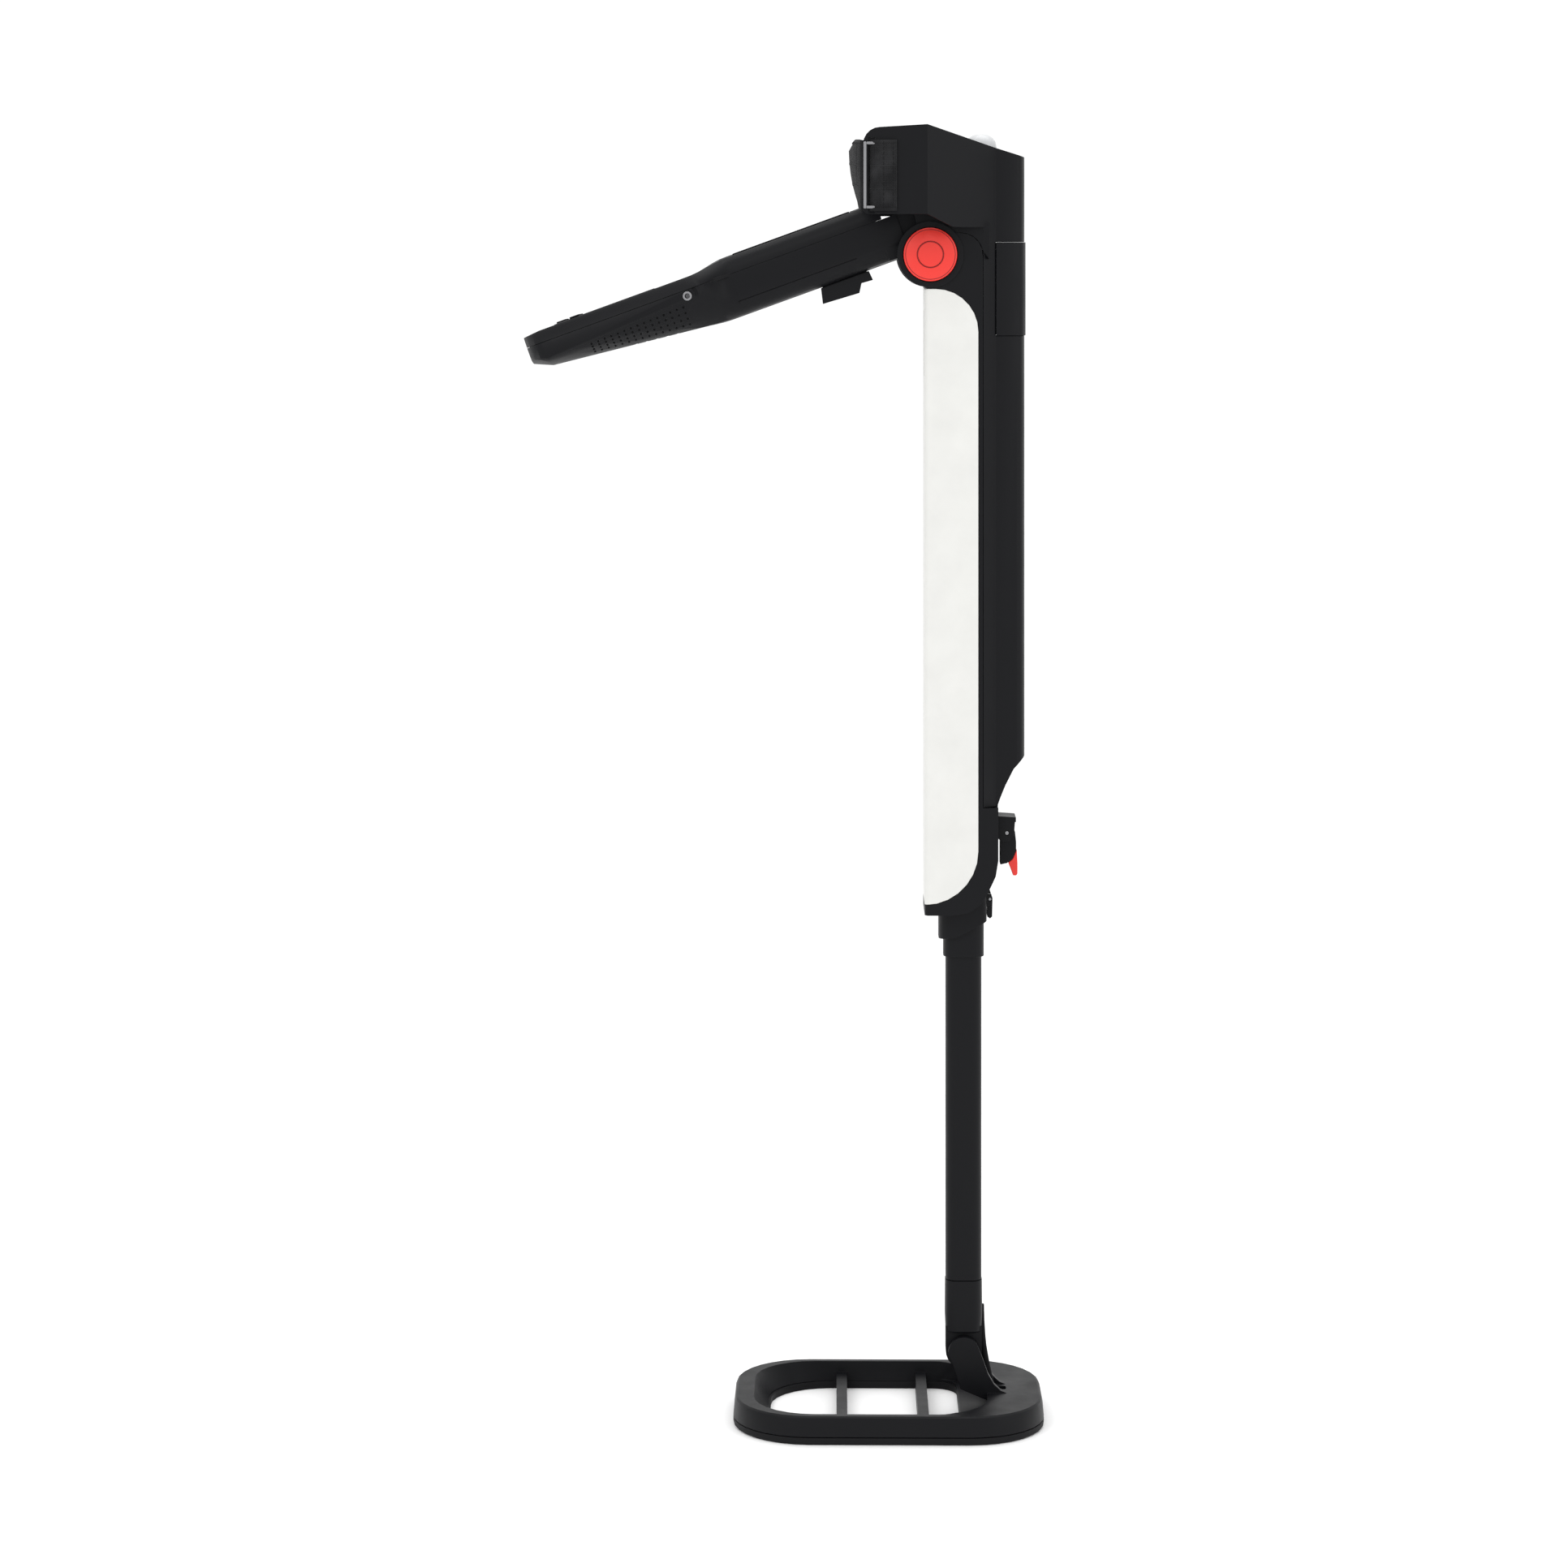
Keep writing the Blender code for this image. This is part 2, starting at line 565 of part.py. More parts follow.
def cuff_plan():
    """The forearm cuff cut level: two wings, flared faces in to the spine, and the cradle inside."""
    slope = (WING_HALF - CREASE_Y) / (CREASE_X - WING_BEND)
    back = [point for point in rear_plan(steps=9) if point[0] >= CREASE_X - 0.01]
    lean = WING_WALL * 1.42
    flat_half = (WING_BEND + WING_HALF / slope - lean - CRADLE_X) * slope - 1.0
    inner = WING_HALF - WING_WALL
    bend = WING_BEND - WING_WALL * 0.42
    outside = [(WING_X, -WING_HALF), (WING_BEND, -WING_HALF)] + back
    outside += [(WING_BEND, WING_HALF), (WING_X, WING_HALF)]
    inside = [(WING_X, inner), (bend, inner), (CRADLE_X - 3.5, flat_half + 3.2), (CRADLE_X, flat_half - 5.0)]
    return outside + inside + [(x, -y) for x, y in reversed(inside)]


def cuff_side(inset=0.0):
    top = HOUSING_TOP - inset
    front = arc(WING_X + 11.0, top - 11.0 - 1.8, 11.0, 180, 90, 5)
    foot = arc(WING_X + 4.0, CUFF_LOW + 4.0, 4.0, 270, 180, 3)
    back = REAR_X + 3
    ridge = [(WING_BEND, top), (back, top_z(back) - inset)]
    return foot + front + ridge + [(back, NECK_LOW + inset), (-8.0, NECK_LOW + inset), (WING_BEND, CUFF_LOW + inset)]


def cuff_room():
    """The hollow inside the cuff's spine, open downwards into the rear shell."""
    slope = (WING_HALF - CREASE_Y) / (CREASE_X - WING_BEND)
    front = CRADLE_X + 2.6
    half = CREASE_Y + slope * (CREASE_X - front) - 2.6 * 1.42
    back = [point for point in rear_plan(-WALL, steps=9) if point[0] >= CREASE_X - 0.01]
    room = [(front, -half + 3.0), (front + 3.0, -half + 3.0)] + back
    return room + [(front + 3.0, half - 3.0), (front, half - 3.0)]


def neck_side():
    """The fillet under the cuff, which follows the front shell's curved parting line."""
    x = PART_X + 1.2
    low = NECK_LOW
    curve = arc(PART_X + GAP - 15.0, FOLD_Z - 0.7, 15.0 + 0.1, 12, 90, 5)
    return [(x + 3, FOLD_Z - 3.0)] + curve + [(-7.0, low + 0.2), (-7.0, low + 3), (x + 3, low + 3)]


def rear_shell(mat):
    """The rear shell and the forearm cuff, one moulding."""
    shell = prism("rear_shell_cuff", rear_side(), -HOUSING_HALF - 9, HOUSING_HALF + 9, mat, axis="Y")
    keep(shell, prism("rear_shell_plan", rear_plan(), STEP_Z - 5, HOUSING_TOP + 5))
    cuff = prism("cuff_band", cuff_side(), -WING_HALF - 5, WING_HALF + 5, axis="Y")
    keep(cuff, prism("cuff_band_plan", cuff_plan(), NECK_LOW - 5, HOUSING_TOP + 5))
    neck = prism("cuff_neck", neck_side(), -HOUSING_HALF + 0.2, HOUSING_HALF - 0.2, axis="Y")
    join(shell, cuff, neck)
    hollow = prism("rear_hollow", rear_side(WALL), -HOUSING_HALF - 9, HOUSING_HALF + 9, axis="Y")
    keep(hollow, prism("rear_hollow_plan", rear_plan(-WALL, front=PART_X - 4), STEP_Z - 9, top_z(REAR_X) - 5))
    cut(shell, hollow)
    room = prism("cuff_hollow", cuff_room(), NECK_LOW + 2.6, HOUSING_TOP)
    keep(room, prism("cuff_hollow_side", cuff_side(2.6), -HOUSING_HALF * 2, HOUSING_HALF * 2, axis="Y"))
    cut(shell, room)
    cut(shell, prism("door_way", door_side(GAP), -HOUSING_HALF, HOUSING_HALF, axis="Y"))
    cut(shell, cylinder("bumper_hole", (BUMPER_X, 0.0), 7.0 + GAP, BUMPER_SEAT - 6, BUMPER_SEAT + 9, axis="Z"))
    cut(shell, cylinder("bumper_well", (BUMPER_X, 0.0), 10.4 + 2 * GAP, BUMPER_SEAT, BUMPER_SEAT + 15, axis="Z"))
    for side in (-1, 1):
        spot = sorted((side * (WING_HALF + 5), side * (WING_HALF - 8)))
        slot = ((WING_X + 3.4, spot[0], STRAP_LOW - 1.2), (WING_X + 7.6, spot[1], STRAP_TOP + 1.2))
        cut(shell, box(f"strap_slot_{side}", *slot))
    return cut(shell, cylinder("case_screw_hole", (0.0, SCREW_Z), 1.6 + GAP, 30, 50, axis="X", sides=16))


def door_side(grow=0.0):
    low, high = DOOR_LOW - grow, DOOR_TOP + grow
    return [(CREASE_X + GAP - grow, low), (50, low), (50, high), (CREASE_X + GAP - grow, high)]


def battery_door(mat):
    """The cover over the cells, a shell in the rear shell's own curve and standing just proud of it."""
    door = prism("battery_door", rear_plan(0.8), DOOR_LOW, DOOR_TOP, mat)
    keep(door, prism("door_outline", door_side(), -40, 40, axis="Y"))
    cut(door, prism("door_inside", rear_plan(-1.0, front=0.0), DOOR_LOW - 5, DOOR_TOP + 5))
    notch = [(REAR_X - 6, DOOR_LOW - 1), (REAR_X + 5, DOOR_LOW - 1), (REAR_X + 5, DOOR_LOW + 3), (REAR_X - 1, DOOR_LOW + 3)]
    return cut(door, prism("door_notch", notch, -6, 6, axis="Y"))


CELL_GAP = 0.4
CELL_BACK = REAR_X - 2.6 - CELL_RADIUS
CELL_SIDE = CELL_RADIUS + CELL_GAP / 2
CELL_SPOTS = [(x, y) for x in (CELL_BACK - 2 * CELL_SIDE, CELL_BACK) for y in (-CELL_SIDE, CELL_SIDE)]


def battery_cell(index, mat):
    x, y = CELL_SPOTS[index]
    name = f"battery_cell_{index + 1}"
    cell = cylinder(name, (x, y), CELL_RADIUS, CELL_BASE, CELL_BASE + CELL_LENGTH - 1.5, mat, axis="Z", sides=24)
    top = CELL_BASE + CELL_LENGTH
    return join(cell, cylinder(name + "_nub", (x, y), 2.7, top - 2.5, top, axis="Z", sides=12))


def battery_tray(mat):
    """The moulded tray: a foot, a back wall against the arm's side and a roof, for four cells."""
    back = CELL_SPOTS[0][0] - CELL_RADIUS - GAP
    side = [(back - 1.5, CELL_BASE - 4.5), (33.0, CELL_BASE - 4.5), (33.0, CELL_BASE - 2.5), (back, CELL_BASE - 2.5)]
    top = CELL_BASE + CELL_LENGTH
    side += [(back, top + 2.0), (30.0, top + 2.0), (30.0, top + 3.6), (back - 1.5, top + 3.6)]
    return prism("battery_tray", side, -13.5, 13.5, mat, axis="Y")


def contact_plate(name, low, mat):
    return box(name, (CELL_SPOTS[0][0] - 5, -12.0, low), (CELL_SPOTS[2][0] - 2, 12.0, low + 0.6), mat)


BUMPER_X = 11.5
BUMPER_SEAT = 831.2


def end_bumper(mat):
    """The soft translucent dome on the butt end."""
    top = BUMPER_SEAT
    sizes = (
        (10.3, top + GAP), (10.4, top + 3.5), (9.7, top + 7.0), (7.9, top + 9.6), (5.4, top + 11.2), (3.2, top + 11.9)
    )
    rings = [at(arc(BUMPER_X, 0.0, r, 0, 337.5, 15), z) for r, z in sizes]
    dome = loft("end_bumper", rings, mat)
    return join(dome, cylinder("bumper_stem", (BUMPER_X, 0.0), 7.0, top - 2.4, top + 2, axis="Z", sides=24))


SCREW_Z = 792.0


def case_screw(mat):
    screw = cylinder("case_screw", (0.0, SCREW_Z), 1.6, REAR_X - 6, REAR_X - 0.2, mat, axis="X", sides=16)
    return cut(screw, box("screw_slot", (REAR_X - 1.2, -2.0, SCREW_Z - 0.35), (REAR_X + 2, 2.0, SCREW_Z + 0.35)))


# ---------- upper lock ----------

UPPER_PIN = (28.2, 384.5)
SHOE_HALF = 5.0
SHOE_Z = (368.0, 380.0)
SHOE_FRONT = MID_X / 2 + SLIDE


def upper_lock_bracket(mat):
    base = 22.0 + GAP
    flange = [(base, 391.7), (34.2, 391.7), (34.2, 394.8), (base, 395.6)]
    bracket = prism("upper_lock_bracket", flange, -10.0, 10.0, mat, axis="Y")
    for side in (-1, 1):
        lo, hi = sorted((side * 6.5, side * 10.0))
        lug = [(base, 381.0), (base, 392.5), (33.6, 392.5), (33.0, 384.0), (30.0, 379.4), (25.0, 378.6)]
        join(bracket, prism(f"bracket_lug_{side}", lug, lo, hi, axis="Y"))
    return cut(bracket, cylinder("bracket_bore", UPPER_PIN, 1.5 + 0.15, -15, 15, sides=16))


LEVER_FRONT = 24.0
LEVER_BACK = [(34.5, 378.0), (34.5, 372.6), (31.9, 367.0), (28.5, 364.2)]


def upper_lock_lever(mat):
    outline = [(LEVER_FRONT, 363.2), (LEVER_FRONT, 388.4), (25.4, 390.0), (31.4, 390.0), (33.8, 384.6)] + LEVER_BACK
    lever = prism("upper_lock_lever", outline, -6.1, 6.1, mat, axis="Y")
    return cut(lever, cylinder("upper_lever_bore", UPPER_PIN, 1.5 + 0.15, -9, 9, sides=16))


def lever_tip(mat):
    """The red finger pad, which follows the lever's lower corner a gap away from it."""
    seat = [(29.3, 364.4), (32.2, 366.8), (34.9, 372.9)]
    pad = [(35.4, 364.0), (35.4, 357.2), (34.6, 356.0), (32.5, 356.0), (30.6, 361.2)]
    return prism("red_lever_tip", seat + pad, -5.4, 5.4, mat, axis="Y")


def upper_lock_pin(mat):
    return cylinder("upper_lock_pin", UPPER_PIN, 1.35, -9.8, 9.8, mat, sides=16)


def upper_lock_shoe(mat):
    """The brake block that the cam pushes on to the middle tube."""
    low, high = SHOE_Z
    return box("upper_lock_shoe", (SHOE_FRONT, -SHOE_HALF, low), (22.6, SHOE_HALF, high), mat)


# ---------- arm ----------

ARM_PLACE = (
    Matrix.Translation((FOLD_X, 0.0, FOLD_Z))
    @ Matrix.Rotation(radians(-ARM_DROP), 4, "Y")
    @ Matrix.Diagonal((-1.0, 1.0, 1.0, 1.0))
)

# Half sections, from the middle of the underside up to the middle of the top, as (y, v).
GRIP_SECTION = (
    (4.5, 3.9), (9.8, 5.2), (14.0, 9.0), (16.4, 15.0), (17.0, 22.0), (17.0, 30.0),
    (16.3, 36.0), (14.0, 40.6), (10.4, 43.4), (5.0, 44.5),
)
POD_TOP = 40.6
POD_WALL_TOP = 32.4


def pod_section(u):
    """The pod's half section: a flat top, a wide bevel, an upright side and the speaker's wedge below."""
    edge = min(27.0, 20.7 + max(0.0, 260.0 - u) * 0.056)
    belly = min(edge - 2.2, 3.9 + max(0.0, u - 137.0) * 0.102)
    step = edge - belly
    return (
        (8.0, belly), (15.0, belly + 0.3), (20.0, belly + 0.2 * step), (26.5, belly + 0.56 * step),
        (31.0, edge - 0.3), (POD_HALF, edge + 1.0), (POD_HALF, POD_WALL_TOP), (28.2, 39.2), (26.0, POD_TOP), (9.0, POD_TOP),
    )


def arm_section(u, inset):
    """One ring round the arm at u, inset from its outer surface all round."""
    mix = max(0.0, min(1.0, (u - 128.0) / 26.0))
    mix = mix * mix * (3 - 2 * mix)
    half = [
        (a + (c - a) * mix, b + (d - b) * mix)
        for (a, b), (c, d) in zip(GRIP_SECTION, pod_section(u))
    ]
    taper = 1.0
    lift = 0.0
    if u > 257.0:
        step = (u - 257.0) / 14.0
        taper = max(0.05, 1.0 - step * step) ** 0.5
        lift = 4.5 * step
    ring = []
    middle = 0.5 * (half[0][1] + half[-1][1])
    for y, v in half:
        low_part = v < middle
        y = y * taper - inset
        v = v + (lift + inset if low_part else -inset - 1.2 * lift / 4.5)
        ring.append((max(y, 1.0), v))
    return [(u, -y, v) for y, v in ring] + [(u, y, v) for y, v in reversed(ring)]


ARM_STATIONS = (12.0, 30.0, 60.0, 95.0, 126.0, 131.0, 136.0, 141.0, 146.0, 151.0, 158.0, 175.0, 200.0, 224.0)
ARM_TIP = (240.0, 257.0, 262.0, 266.0, 269.0)
POD_END = 269.0


def arm_solid(name, inset=0.0, mat=None, first=12.0):
    stops = [first] + list(ARM_STATIONS[1:])
    stops += [u for u in ARM_TIP if u < POD_END - inset] + [POD_END - inset]
    return loft(name, [arm_section(u, inset) for u in stops], mat, ARM_PLACE)


def arm_box(name, lo, hi, mat=None):
    return box(name, lo, hi, mat, ARM_PLACE)


def arm_lower_shell(mat):
    """The arm's underside half, with the hinge barrel, the grip's belly and the speaker's wedge."""
    shell = arm_solid("arm_lower_shell", mat=mat)
    barrel = cylinder("hinge_barrel", FOLD, BARREL_RADIUS, -BARREL_HALF + SLIDE, BARREL_HALF - SLIDE, sides=48)
    neck = arm_box("arm_neck", (0.0, -GRIP_HALF + 1.5, 5.0), (26.0, GRIP_HALF - 1.5, ARM_SPLIT - GAP))
    join(shell, neck, barrel)
    cut(shell, arm_solid("arm_lower_inside", ARM_WALL, first=24.0))
    cut(shell, arm_box("arm_lower_trim", (-30, -50, ARM_SPLIT - GAP / 2), (290, 50, 70)))
    cut(shell, cylinder("lock_bore", FOLD, 13.0, -BARREL_HALF - 2, BARREL_HALF - 5, sides=32))
    cut(shell, cylinder("axle_bore", FOLD, 4.0 + SLIDE, -5, BARREL_HALF + 2, sides=24))
    cut(shell, jack_cutter())
    slots = [
        arm_box(f"speaker_slot_{i}", (172.0 + 7.0 * i, -14.0, 2.0), (174.4 + 7.0 * i, 14.0, 24.0)) for i in range(5)
    ]
    return cut(shell, *slots)


def arm_upper_shell(mat):
    """The arm's top half: the grip's back and the face of the control pod."""
    shell = arm_solid("arm_upper_shell", mat=mat)
    cut(shell, arm_solid("arm_upper_inside", ARM_WALL, first=24.0))
    cut(shell, arm_box("arm_upper_trim", (-30, -50, -20), (290, 50, ARM_SPLIT + GAP / 2)))
    cut(shell, arm_box("arm_top_trim", (-30, -50, -20), (21.8, 50, 70)))
    cut(shell, arm_box("grip_recess", (39.7, -7.8, 42.6), (122.3, 7.8, 60)))
    cut(shell, arm_box("window_recess", (176.7, -22.3, POD_TOP - 1.3), (247.3, 22.3, 60)))
    cut(shell, arm_box("panel_hole", (180.0, -19.0, 30), (220.0, 19.0, 60)))
    for i in range(KEY_COUNT):
        u, y = key_spot(i)
        cut(shell, key_shape(f"key_hole_{i}", u, y, SLIDE, 30.0, 60.0))
    return shell


JACK = (158.0, 28.7)


def jack_cutter():
    return cylinder("jack_hole", JACK, 3.0 + GAP, -POD_HALF - 3, -POD_HALF + 8, sides=20, place=ARM_PLACE)


def headphone_jack(mat):
    jack = cylinder(
        "headphone_jack", JACK, 3.0, -POD_HALF - 0.4, -POD_HALF + 13, mat, sides=20, place=ARM_PLACE
    )
    return cut(jack, cylinder("jack_bore", JACK, 1.75, -POD_HALF - 3, -POD_HALF + 11, sides=16, place=ARM_PLACE))


KEY_COUNT = 5


def key_spot(i):
    return (232.5, 16.0 * (i - 1)) if i < 3 else (242.0, 16.0 * (i - 3.5))


def key_shape(name, u, y, grow, low, high, mat=None):
    outline = rounded(u - 3.4 - grow, u + 3.4 + grow, y - 6.2 - grow, y + 6.2 + grow, 2.4, 3)
    return prism(name, outline, low, high, mat, place=ARM_PLACE)


def pod_key(i, mat):
    u, y = key_spot(i)
    return key_shape(f"pod_key_{i + 1}", u, y, 0.0, POD_TOP - 2.6, POD_TOP + 1.4, mat)


def display_window(mat):
    outline = rounded(177.0, 247.0, -22.0, 22.0, 4.0, 3)
    window = prism("display_window", outline, POD_TOP - 1.0, POD_TOP + 0.4, mat, place=ARM_PLACE)
    for i in range(KEY_COUNT):
        u, y = key_spot(i)
        cut(window, key_shape(f"window_hole_{i}", u, y, SLIDE, 30.0, 60.0))
    return window


def display_panel(mat):
    return arm_box("display_panel", (181.0, -18.5, POD_TOP - 4.2), (219.5, 18.5, POD_TOP - 1.4), mat)


def main_board(mat):
    return arm_box("main_board", (163.0, -23.0, 33.6), (251.0, 23.0, 35.2), mat)


def key_mat(mat):
    return arm_box("key_mat", (225.5, -23.0, 35.5), (250.0, 23.0, 37.1), mat)


def speaker(mat):
    cone = cylinder("speaker", (187.0, 0.0), 12.5, 19.5, 23.0, mat, axis="Z", sides=32, place=ARM_PLACE)
    return join(cone, cylinder("speaker_magnet", (187.0, 0.0), 7.5, 22.0, 27.5, axis="Z", sides=24, place=ARM_PLACE))


def grip_insert(mat):
    insert = arm_box("grip_top_insert", (40.0, -7.5, 42.9), (122.0, 7.5, 44.8), mat)
    soften = insert.modifiers.new("soft_edges", "BEVEL")
    soften.width = 0.0007
    soften.segments = 2
    return insert


HOOK_HALF = 6.0
HOOK_ROOM = (
    (FRONT_X - 4, -HOOK_HALF - 1.2, FOLD_Z - 80.0),
    (FRONT_X + 13.0, HOOK_HALF + 1.2, FOLD_Z - 37.0),
)


def latch_hook(mat):
    """The barbed catch under the grip, which snaps into the window of the white cover."""
    side = [(41.2, 3.6), (40.6, -3.0), (48.4, -2.4), (51.9, -8.0), (77.0, -6.6), (74.6, 3.6)]
    return prism("latch_hook", side, -HOOK_HALF, HOOK_HALF, mat, axis="Y", place=ARM_PLACE)


# ---------- fold lock ----------

def lock_button(mat):
    """The push button: a dished red cap with a stem that reaches into the barrel."""
    face = -HOUSING_HALF - 4.6
    rings = ((BUTTON_RADIUS - 1.2, face), (BUTTON_RADIUS - 0.3, face + 0.5), (BUTTON_RADIUS, face + 1.3), (BUTTON_RADIUS, face + 2.6))
    circles = [[(x, y, z) for x, z in arc(*FOLD, r, 0, 352.5, 47)] for r, y in rings]
    cap = loft("lock_button", circles, mat)
    groove = cylinder("button_groove", FOLD, 8.9, face - 2, face + 0.5, sides=40)
    cut(groove, cylinder("button_boss", FOLD, 8.1, face - 3, face + 3, sides=40))
    cut(cap, groove)
    return join(cap, cylinder("button_stem", FOLD, 11.0 - SLIDE, face + 2.0, -BARREL_HALF + 1.5, sides=32))


def lock_dog(mat):
    """The toothed block that the button pushes across to free the arm."""
    dog = cylinder("lock_dog", FOLD, 11.6, -BARREL_HALF + 1.9, -BARREL_HALF + 9.0, mat, sides=12)
    return cut(dog, cylinder("dog_spring_seat", FOLD, 7.0, -BARREL_HALF + 5.0, -BARREL_HALF + 12.0, sides=24))


def lock_spring(mat):
    """The return spring, between the dog and the barrel's inner wall."""
    low, high = -BARREL_HALF + 5.6, BARREL_HALF - 5.6
    turns, steps = 6, 12
    line = bpy.data.curves.new("lock_spring", "CURVE")
    line.dimensions = "3D"
    line.resolution_u = 1
    line.bevel_depth = 0.55 * MM
    line.bevel_resolution = 1
    line.use_fill_caps = True
    path = line.splines.new("POLY")
    count = turns * steps + 1
    path.points.add(count - 1)
    for i, point in enumerate(path.points):
        angle = 2 * pi * i / steps
        along = low + (high - low) * i / (count - 1)
        point.co = ((FOLD_X + 6.0 * cos(angle)) * MM, along * MM, (FOLD_Z + 6.0 * sin(angle)) * MM, 1.0)
    spring = bpy.data.objects.new("lock_spring", line)
    line.materials.append(mat)
    scene_root.objects.link(spring)
    return spring


def fold_axle(mat):
    axle = cylinder("fold_axle", FOLD, 4.0, BARREL_HALF - 4.6, HOUSING_HALF + 2.2, mat, sides=24)
    return join(axle, cylinder("axle_head", FOLD, 7.0, HOUSING_HALF + 1.9, HOUSING_HALF + 4.0, sides=32, tip=6.0))


# ---------- strap ----------

STRAP_LOW = 791.6
STRAP_TOP = 838.0
STRAP_THICK = 1.6


def strap_path():
    """The webbing seen from above: back along the near wing, in through its slot, and across to the far wing."""
    outside = -WING_HALF - STRAP_THICK / 2 - 0.4
    inside = -WING_HALF + WING_WALL + STRAP_THICK / 2 + 0.6
    slot = WING_X + 5.0
    turn = [(WING_X + 22.0, outside), (slot + 2.6, outside), (slot + 0.6, outside + 0.8), (slot, outside + 2.4)]
    turn += [(slot, inside - 1.4), (slot - 1.4, inside + 0.4), (WING_X - 1.0, inside + 1.6)]
    across = [(WING_X - 5.0, -42.0), (WING_X - 7.6, -24.0), (WING_X - 8.4, 0.0)]
    return turn + across + [(x, -y) for x, y in reversed((turn + across)[:-1])]


def strap(mat):
    """A ribbon along the path, which leans as it bulges out in front of the wings."""
    path = strap_path()
    half = STRAP_THICK / 2
    lines = []
    for i, (x, y) in enumerate(path):
        ahead = Vector(path[min(i + 1, len(path) - 1)])
        behind = Vector(path[max(i - 1, 0)])
        way = (ahead - behind).normalized()
        normal = Vector((-way.y, way.x)) * half
        out = max(0.0, WING_X - 1.0 - x)
        low, top = STRAP_LOW + 0.7 * out, STRAP_TOP + 0.2 * out
        lines.append([
            (x + normal.x + out * 0.7, y + normal.y, low), (x - normal.x + out * 0.7, y - normal.y, low),
            (x - normal.x, y - normal.y, top), (x + normal.x, y + normal.y, top),
        ])
    return loft("strap", lines, mat)


def build():
    black = material("black_plastic", BLACK, 0.42)
    dark = material("dark_plastic", (0.03, 0.03, 0.034), 0.5)
    white = material("white_plastic", (0.84, 0.84, 0.81), 0.38)
    red = material("red_plastic", (0.72, 0.035, 0.02), 0.35)
    steel = material("steel", (0.62, 0.62, 0.62), 0.28, 1.0)
    copper = material("copper_wire", (0.6, 0.25, 0.1), 0.35, 1.0)
    rubber = material("soft_rubber", (0.022, 0.022, 0.024), 0.75)
    clear = material("frosted_cap", (0.7, 0.7, 0.7), 0.3)
    webbing = material("webbing", (0.02, 0.02, 0.022), 0.85)
    board = material("board_green", (0.02, 0.12, 0.05), 0.5)
    glass = material("window_smoke", (0.02, 0.02, 0.025), 0.1)
    cell = material("cell_wrap", (0.25, 0.26, 0.28), 0.35)
    nylon = material("nylon", (0.75, 0.75, 0.72), 0.5)

    coil_shell(black)
    skid_cover(dark)
    winding("transmit_winding", SEND_SPAN, SEND_CORNERS, SEND_LOW, SEND_LOW + WIRE_HEIGHT, WIRE_WIDTH, copper)
    winding("receive_winding", TAKE_SPAN, TAKE_CORNERS, TAKE_LOW, TAKE_LOW + WIRE_HEIGHT, WIRE_WIDTH, copper)
    clevis_pin(dark)
    clevis_washer(-1, rubber)
    clevis_washer(1, rubber)
    coil_lead(rubber)
    lower_knuckle(black)
    tube("lower_shaft", TUBE_X, TUBE_Y, TUBE_WALL, TUBE_BOTTOM, TUBE_TOP, black)
    shaft_glide(nylon)
    tube("mid_shaft", MID_X, MID_Y, MID_WALL, MID_BOTTOM, MID_TOP, black)
    lower_lock_collar(black)
    lower_lock_lever(black)
    lower_lock_pin(steel)
    front_shell(black)
    white_cover(white)
    rear_shell(black)
    battery_door(black)
    for index in range(len(CELL_SPOTS)):
        battery_cell(index, cell)
    battery_tray(dark)
    contact_plate("contact_plate_low", CELL_BASE - 1.6, steel)
    contact_plate("contact_plate_top", CELL_BASE + CELL_LENGTH + 0.7, steel)
    end_bumper(clear)
    case_screw(steel)
    upper_lock_bracket(black)
    upper_lock_lever(black)
    lever_tip(red)
    upper_lock_pin(steel)
    upper_lock_shoe(rubber)
    arm_lower_shell(black)
    arm_upper_shell(black)
    headphone_jack(steel)
    display_window(glass)
    display_panel(dark)
    main_board(board)
    key_mat(rubber)
    speaker(dark)
    for index in range(KEY_COUNT):
        pod_key(index, rubber)
    grip_insert(rubber)
    latch_hook(black)
    lock_button(red)
    lock_dog(nylon)
    lock_spring(steel)
    fold_axle(dark)
    strap(webbing)


clear_scene()
scene_root = collection("folding_metal_detector")
cutters = collection("cutters", hidden=True)
build()
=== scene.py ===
"""Looks of a folding hand-held metal detector that stands on its ring coil.

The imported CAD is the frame: metres, +Z up, the shaft on the Z axis, the coil's nose towards -X and the camera
towards -Y. The fold, the button, the wings and the strap's side are read from the CAD nodes' boxes. Other places
repeat the CAD's own sizes, in millimetres. The pieces named hook_seat, arm_seam_tongue and hinge_web only cover
gaps that the CAD has.
"""

import json
from math import cos, pi, radians, sin

